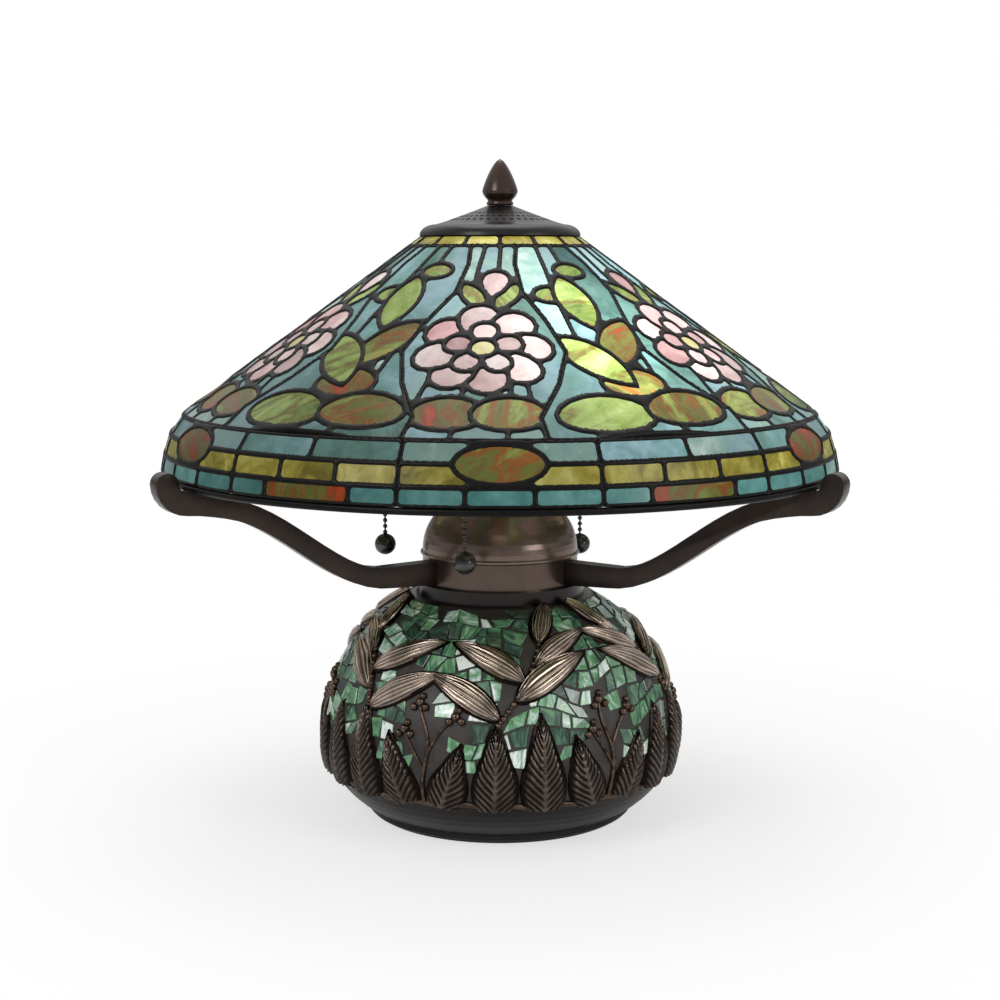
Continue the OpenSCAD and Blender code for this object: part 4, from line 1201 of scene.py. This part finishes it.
    def ground(self, groups: EffectGroups) -> bpy.types.Material:
        """Grey-brown grout in the mosaic zone of the pot, and dark bronze on the neck and below the frieze.

        Args:
            groups: the shared effects.

        Returns:
            The material.
        """
        finish = Finish("pot_ground")
        tree = finish.tree
        cloud = finish.group(groups.cloud, Scale=45.0, Grain=1300.0)
        height = tree.add("ShaderNodeSeparateXYZ", {0: tree.place()}).outputs[2]
        above_frieze = tree.spread(height, 33.5 * MM, 35.5 * MM)
        below_neck = tree.spread(height, 152 * MM, 150.5 * MM)
        zone = tree.math("MULTIPLY", above_frieze, below_neck)
        grout = tree.mix(cloud.outputs["Cloud"], (0.016, 0.014, 0.013), (0.050, 0.043, 0.039))
        bronze = tree.mix(cloud.outputs["Cloud"], (0.006, 0.005, 0.005), (0.018, 0.013, 0.011))
        finish.set(
            Base_Color=tree.mix(zone, bronze, grout),
            Metallic=tree.between(zone, 0.5, 0.3),
            Roughness=tree.between(zone, 0.26, 0.5),
        )
        finish.bump(cloud.outputs["Grain"], 0.25, 0.4 * MM)
        return finish.material


# ---- shade


@dataclass
class LeadedShade:
    """Cone shade: panes of art glass held in beads of dark solder."""

    bead_voxel: float = 1.0 * MM
    bead_swell: float = 0.46 * MM
    pane_swell: float = 0.36 * MM
    vents: int = 14
    seed: int = 5

    def glasses(self) -> dict[str, tuple[ArtGlass, str]]:
        """The glass of each pane node, with the record's slot."""
        turquoise = ArtGlass(
            "turquoise_glass",
            ((0.0, (0.045, 0.13, 0.125)), (0.22, (0.13, 0.27, 0.225)),
             (0.42, (0.18, 0.36, 0.345)), (0.58, (0.28, 0.46, 0.51)),
             (0.78, (0.31, 0.50, 0.42)), (1.0, (0.64, 0.80, 0.78))),
            6.5, 2.2, 1.0, 0.55, (0.09, 1.15),
        )
        rim = ArtGlass(
            "rim_turquoise",
            ((0.0, (0.05, 0.17, 0.17)), (0.4, (0.10, 0.30, 0.28)),
             (0.75, (0.20, 0.45, 0.42)), (1.0, (0.42, 0.66, 0.58))),
            8.0, 2.2, 1.0, 0.5, (0.12, 1.15),
        )
        pink = ArtGlass(
            "petal_glass",
            ((0.0, (0.44, 0.23, 0.22)), (0.35, (0.60, 0.38, 0.37)),
             (0.7, (0.78, 0.61, 0.59)), (1.0, (0.92, 0.82, 0.80))),
            7.0, 2.4, 0.8, 0.4, (0.27, 0.90),
        )
        yellow = ArtGlass(
            "centre_glass",
            ((0.0, (0.55, 0.40, 0.08)), (0.5, (0.74, 0.62, 0.20)), (1.0, (0.86, 0.80, 0.42))),
            16.0, 1.6, 0.8, 0.3, (0.25, 0.70),
        )
        green = ArtGlass(
            "green_glass",
            ((0.0, (0.040, 0.075, 0.018)), (0.2, (0.10, 0.16, 0.032)),
             (0.38, (0.21, 0.31, 0.060)), (0.5, (0.20, 0.15, 0.032)),
             (0.62, (0.30, 0.42, 0.09)), (0.82, (0.42, 0.54, 0.16)), (1.0, (0.56, 0.68, 0.28))),
            12.0, 4.2, 1.0, 0.4, (0.10, 1.12),
        )
        amber = ArtGlass(
            "rust_glass",
            ((0.0, (0.56, 0.075, 0.014)), (0.18, (0.32, 0.060, 0.014)),
             (0.32, (0.17, 0.11, 0.026)), (0.45, (0.15, 0.18, 0.040)),
             (0.56, (0.27, 0.085, 0.020)), (0.68, (0.20, 0.24, 0.055)),
             (0.84, (0.36, 0.40, 0.10)), (1.0, (0.55, 0.20, 0.040))),
            11.0, 4.4, 1.1, 0.4, (0.14, 1.20),
        )
        lime = ArtGlass(
            "lime_glass",
            ((0.0, (0.20, 0.17, 0.020)), (0.4, (0.40, 0.34, 0.045)),
             (0.75, (0.60, 0.54, 0.12)), (1.0, (0.76, 0.72, 0.26))),
            30.0, 1.6, 1.5, 0.25, (0.15, 1.10), ripple=0.6,
        )
        return {
            "glass_background": (turquoise, "glass_turquoise"),
            "glass_rim_band": (rim, "glass_turquoise"),
            "glass_petals": (pink, "glass_pink"),
            "glass_centres": (yellow, "glass_yellow"),
            "glass_green_leaves": (green, "glass_green"),
            "glass_amber_leaves": (amber, "glass_amber"),
            "glass_amber_band": (lime, "glass_lime"),
            "glass_border": (lime, "glass_lime"),
        }

    def build_panes(self, groups: EffectGroups) -> None:
        """Seat each pane against its solder and give it its own cut of the sheet.

        Args:
            groups: the shared effects.
        """
        rng = np.random.default_rng(self.seed)
        made: dict[str, bpy.types.Material] = {}
        for node, (glass, slot) in self.glasses().items():
            obj = node_copy(node, node.replace("glass_", "panes_"))
            apply_modifier(obj, "DISPLACE", strength=self.pane_swell, mid_level=0.0)
            number = shells(obj)
            point_colour(obj, "pane", rng.random((number.max() + 1, 3))[number])
            smooth(obj, 35)
            if glass.name not in made:
                made[glass.name] = glass.make(groups)
            finish_piece(obj, Body.SHADE, slot, made[glass.name], node)

    def build_leading(self, groups: EffectGroups) -> None:
        """Round the leading into solder beads, one piece to each soldered panel.

        Args:
            groups: the shared effects.
        """
        solder = PatinaMetal(
            "dark_solder", (0.003, 0.003, 0.003), (0.011, 0.009, 0.008), 0.1, (0.30, 0.44), 150.0, gloss=0.1
        ).make(groups)
        for node in ("leading_border", "leading_blossoms", "leading_leaves", "leading_apron"):
            whole = node_copy(node, node.replace("leading_", "solder_"))
            for panel in loose_parts(whole):
                apply_modifier(panel, "DISPLACE", strength=self.bead_swell, mid_level=0.0)
                apply_modifier(panel, "REMESH", mode="VOXEL", voxel_size=self.bead_voxel, adaptivity=0.0)
                apply_modifier(panel, "SMOOTH", factor=0.5, iterations=3)
                apply_modifier(panel, "DECIMATE", ratio=0.45)
                smooth(panel, 60)
                panel.name = panel.name.replace(".", "_")
                finish_piece(panel, Body.SHADE, "lead", solder, node)
        dress(solder, "rim_wire", "top_ring")

    def build_cap(self) -> bpy.types.Object:
        """Drill the finer vents of the heat cap, two between each pair that the CAD has.

        Returns:
            The drilled cap.
        """
        cap = node_copy("heat_cap", "vented_cap")
        low, high = (np.array(corner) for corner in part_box("heat_cap"))
        pins = []
        for row in range(3):
            reach = high[0] * (0.4 + 0.11 * row)
            for k in range(self.vents):
                for part in (1 / 3, 2 / 3):
                    angle = (k + row / 2 + part) * 2 * math.pi / self.vents
                    bpy.ops.object.select_all(action="DESELECT")
                    bpy.ops.mesh.primitive_cylinder_add(
                        vertices=12,
                        radius=(0.95 + 0.25 * row) * MM,
                        depth=high[2] - low[2] + 12 * MM,
                        location=(reach * math.cos(angle), reach * math.sin(angle), (low[2] + high[2]) / 2),
                    )
                    pins.append(bpy.context.active_object)
        drill = joined(pins, "vent_drill")
        apply_modifier(cap, "BOOLEAN", object=drill, operation="DIFFERENCE", solver="EXACT")
        bpy.data.objects.remove(drill)
        smooth(cap, 35)
        return cap

    def build(self, groups: EffectGroups) -> None:
        """Build the glass and the leading, and dress the cap.

        Args:
            groups: the shared effects.
        """
        self.build_panes(groups)
        self.build_leading(groups)
        cap = PatinaMetal("cap_black", (0.006, 0.005, 0.005), (0.026, 0.020, 0.018), 0.6, (0.26, 0.4)).make(groups)
        finish_piece(self.build_cap(), Body.SHADE, "cap_black", cap, "heat_cap")
        brown = PatinaMetal("finial_brown", (0.022, 0.012, 0.009), (0.085, 0.045, 0.032), 0.55, (0.14, 0.24))
        dress(brown.make(groups), "finial")


# ---- metalwork and lights


@dataclass
class BronzeWork:
    """Collar, dome, arms and the hardware of the base."""

    arm_round: float = 3.2 * MM

    def build(self, groups: EffectGroups) -> None:
        """Round the arms and dress the metalwork.

        Args:
            groups: the shared effects.
        """
        # The dome's bronze is lighter than the collar's and the arms' as a painted sheen: it stands in for the
        # reflections on the dome.
        dome = PatinaMetal("brown_bronze", (0.135, 0.096, 0.080), (0.360, 0.270, 0.230), 0.78, (0.18, 0.29), 22.0)
        arm = PatinaMetal("arm_bronze", (0.018, 0.013, 0.011), (0.066, 0.045, 0.036), 0.72, (0.24, 0.36), 24.0)
        collar = PatinaMetal("collar_bronze", (0.065, 0.044, 0.036), (0.185, 0.132, 0.110), 0.76, (0.18, 0.29), 22.0)
        dress(dome.make(groups), "dome_cap")
        arm_brown = arm.make(groups)
        dress(collar.make(groups), "collar")
        for node in ("arm_left", "arm_right", "arm_back"):
            obj = node_copy(node, node.replace("arm_", "bar_"))
            select_only(obj)
            bpy.ops.object.mode_set(mode="EDIT")
            bpy.ops.mesh.select_all(action="SELECT")
            bpy.ops.mesh.dissolve_limited(angle_limit=math.radians(1.0))
            bpy.ops.object.mode_set(mode="OBJECT")
            apply_modifier(obj, "BEVEL", width=self.arm_round, segments=4, limit_method="ANGLE",
                           angle_limit=math.radians(50), use_clamp_overlap=True)
            smooth(obj, 35)
            finish_piece(obj, Body.BASE, "brown_bronze", arm_brown, node)
        brass = PatinaMetal("aged_brass", (0.20, 0.13, 0.05), (0.48, 0.36, 0.16), 0.9, (0.25, 0.42)).make(groups)
        dress(brass, "arm_screws", "centre_pipe", "foot_washer", "foot_nut", "dome_nut", "cluster_body", "cap_nut")


@dataclass
class Lights:
    """Sockets, bulbs and pull chains."""

    sides: tuple[Side, ...] = (Side.FRONT, Side.RIGHT, Side.LEFT)

    def build(self, groups: EffectGroups) -> None:
        """Dress the sockets, bulbs and chains.

        Args:
            groups: the shared effects.
        """
        brass = PatinaMetal("socket_brass", (0.22, 0.14, 0.05), (0.50, 0.38, 0.16), 0.9, (0.22, 0.38)).make(groups)
        core = PlainGrain(
            "insulator", (0.62, 0.57, 0.47), (0.78, 0.74, 0.66), (0.45, 0.6), 40.0, 900.0, 0.15
        ).make(groups)
        base = PatinaMetal("bulb_metal", (0.42, 0.38, 0.28), (0.62, 0.57, 0.44), 0.9, (0.2, 0.35)).make(groups)
        chain = PatinaMetal(
            "dark_gunmetal", (0.045, 0.043, 0.042), (0.16, 0.15, 0.145), 0.85, (0.2, 0.32), 60.0
        ).make(groups)
        envelope = self.envelope(groups)
        for side in self.sides:
            name = side.value
            dress(brass, f"socket_cap_{name}", f"socket_shell_{name}", f"chain_guide_{name}")
            dress(core, f"socket_core_{name}")
            dress(base, f"bulb_base_{name}")
            dress(envelope, f"bulb_glass_{name}")
            dress(chain, f"pull_chain_{name}", f"pull_ball_{name}")

    def envelope(self, groups: EffectGroups) -> bpy.types.Material:
        """Frosted warm glass of a lit bulb.

        Args:
            groups: the shared effects.

        Returns:
            The material.
        """
        finish = Finish("frosted_bulb")
        cloud = finish.group(groups.cloud, Scale=50.0, Grain=900.0)
        tone = finish.tree.mix(cloud.outputs["Cloud"], (0.62, 0.47, 0.27), (0.70, 0.58, 0.38))
        finish.set(Base_Color=tone, Emission_Color=tone, Emission_Strength=0.55, Roughness=0.4)
        return finish.material


@dataclass
class Studio:
    """Pale floor, soft lights and the photograph's camera."""

    camera_place: Colour = (0.0, -1.23447, 0.38354)
    tilt: float = 0.135
    lens: float = 65.0

    def soft_box(self, name: str, place: Colour, size: float, power: float, target: Colour = (0, 0, 0.24)) -> None:
        """Add a square soft light aimed at the lamp.

        Args:
            name: name of the light.
            place: its position.
            size: its side.
            power: watts.
            target: the point it faces.
        """
        data = bpy.data.lights.new(name, "AREA")
        data.size = size
        data.energy = power
        obj = bpy.data.objects.new(name, data)
        obj.location = place
        away = np.array(place) - np.array(target)
        flat = math.hypot(away[0], away[1])
        obj.rotation_euler = (math.atan2(flat, away[2]), 0.0, math.atan2(away[0], -away[1]))
        bpy.context.scene.collection.objects.link(obj)

    def build(self) -> None:
        """Set up the floor, the world, the lights and the camera."""
        scene = bpy.context.scene
        scene.view_settings.view_transform = "Standard"
        bpy.ops.object.select_all(action="DESELECT")
        bpy.ops.mesh.primitive_plane_add(size=60.0, location=(0, 0, -0.4 * MM))
        floor = bpy.context.active_object
        floor.name = "floor"
        floor.data.materials.append(self.floor_white())
        self.world()
        self.soft_box("key", (-0.9, -1.1, 1.1), 0.7, 9.0)
        self.soft_box("fill", (1.1, -0.9, 0.7), 0.6, 6.0)
        self.soft_box("top", (0.0, 0.3, 1.5), 0.9, 7.0)
        data = bpy.data.cameras.new("photo_camera")
        data.lens = self.lens
        data.sensor_width = 36.0
        data.clip_start = 0.01
        camera = bpy.data.objects.new("photo_camera", data)
        camera.location = self.camera_place
        camera.rotation_euler = (math.pi / 2 - self.tilt, 0.0, 0.0)
        scene.collection.objects.link(camera)
        scene.camera = camera

    def floor_white(self) -> bpy.types.Material:
        """White floor that keeps a soft shadow.

        Returns:
            The material.
        """
        material = bpy.data.materials.new("white_floor")
        material.use_nodes = True
        material.node_tree.nodes.clear()
        tree = Tree(material.node_tree)
        path = tree.add("ShaderNodeLightPath")
        cloud = tree.noise(tree.place(), 3.0, 2.0)
        diffuse = tree.add("ShaderNodeBsdfDiffuse", {0: tree.mix(cloud, (0.90, 0.90, 0.90), (0.94, 0.94, 0.94))})
        bright = tree.add("ShaderNodeEmission", {0: (1, 1, 1, 1), 1: 1.0})
        far = tree.add("ShaderNodeVectorMath", {0: tree.place()}, operation="LENGTH").outputs["Value"]
        share = tree.between(tree.spread(far, 0.12, 0.55), 0.62, 1.0)
        seen = tree.math("MULTIPLY", path.outputs["Is Camera Ray"], share)
        both = tree.add("ShaderNodeMixShader", {0: seen, 1: diffuse.outputs[0], 2: bright.outputs[0]})
        out = tree.add("ShaderNodeOutputMaterial")
        material.node_tree.links.new(both.outputs[0], out.inputs[0])
        return material

    def world(self) -> None:
        """White surroundings: plain light on the lamp, white to the camera and in reflections."""
        world = bpy.data.worlds.new("studio")
        bpy.context.scene.world = world
        world.use_nodes = True
        world.node_tree.nodes.clear()
        tree = Tree(world.node_tree)
        path = tree.add("ShaderNodeLightPath")
        seen = tree.math("MAXIMUM", path.outputs["Is Camera Ray"], path.outputs["Is Transmission Ray"])
        up = tree.add("ShaderNodeSeparateXYZ", {0: tree.add("ShaderNodeTexCoord").outputs["Generated"]}).outputs[2]
        bright = tree.between(tree.spread(up, 0.0, 0.45), 0.08, 1.0)
        soft = tree.math("MULTIPLY", path.outputs["Is Glossy Ray"], bright)
        plain = tree.math("MULTIPLY", tree.math("SUBTRACT", 1.0, path.outputs["Is Glossy Ray"]), 0.55)
        level = tree.math("MAXIMUM", tree.math("MAXIMUM", seen, soft), plain)
        sky = tree.add("ShaderNodeBackground", {0: (1, 1, 1, 1), 1: level})
        out = tree.add("ShaderNodeOutputWorld")
        world.node_tree.links.new(sky.outputs[0], out.inputs[0])


def main() -> None:
    """Build the lamp's looks in order."""
    logging.basicConfig(level=logging.INFO, format="%(message)s")
    groups = EffectGroups()
    Studio().build()
    MosaicPot().build(groups)
    BronzeWork().build(groups)
    Lights().build(groups)
    LeadedShade().build(groups)


if __name__ == "__main__":
    main()
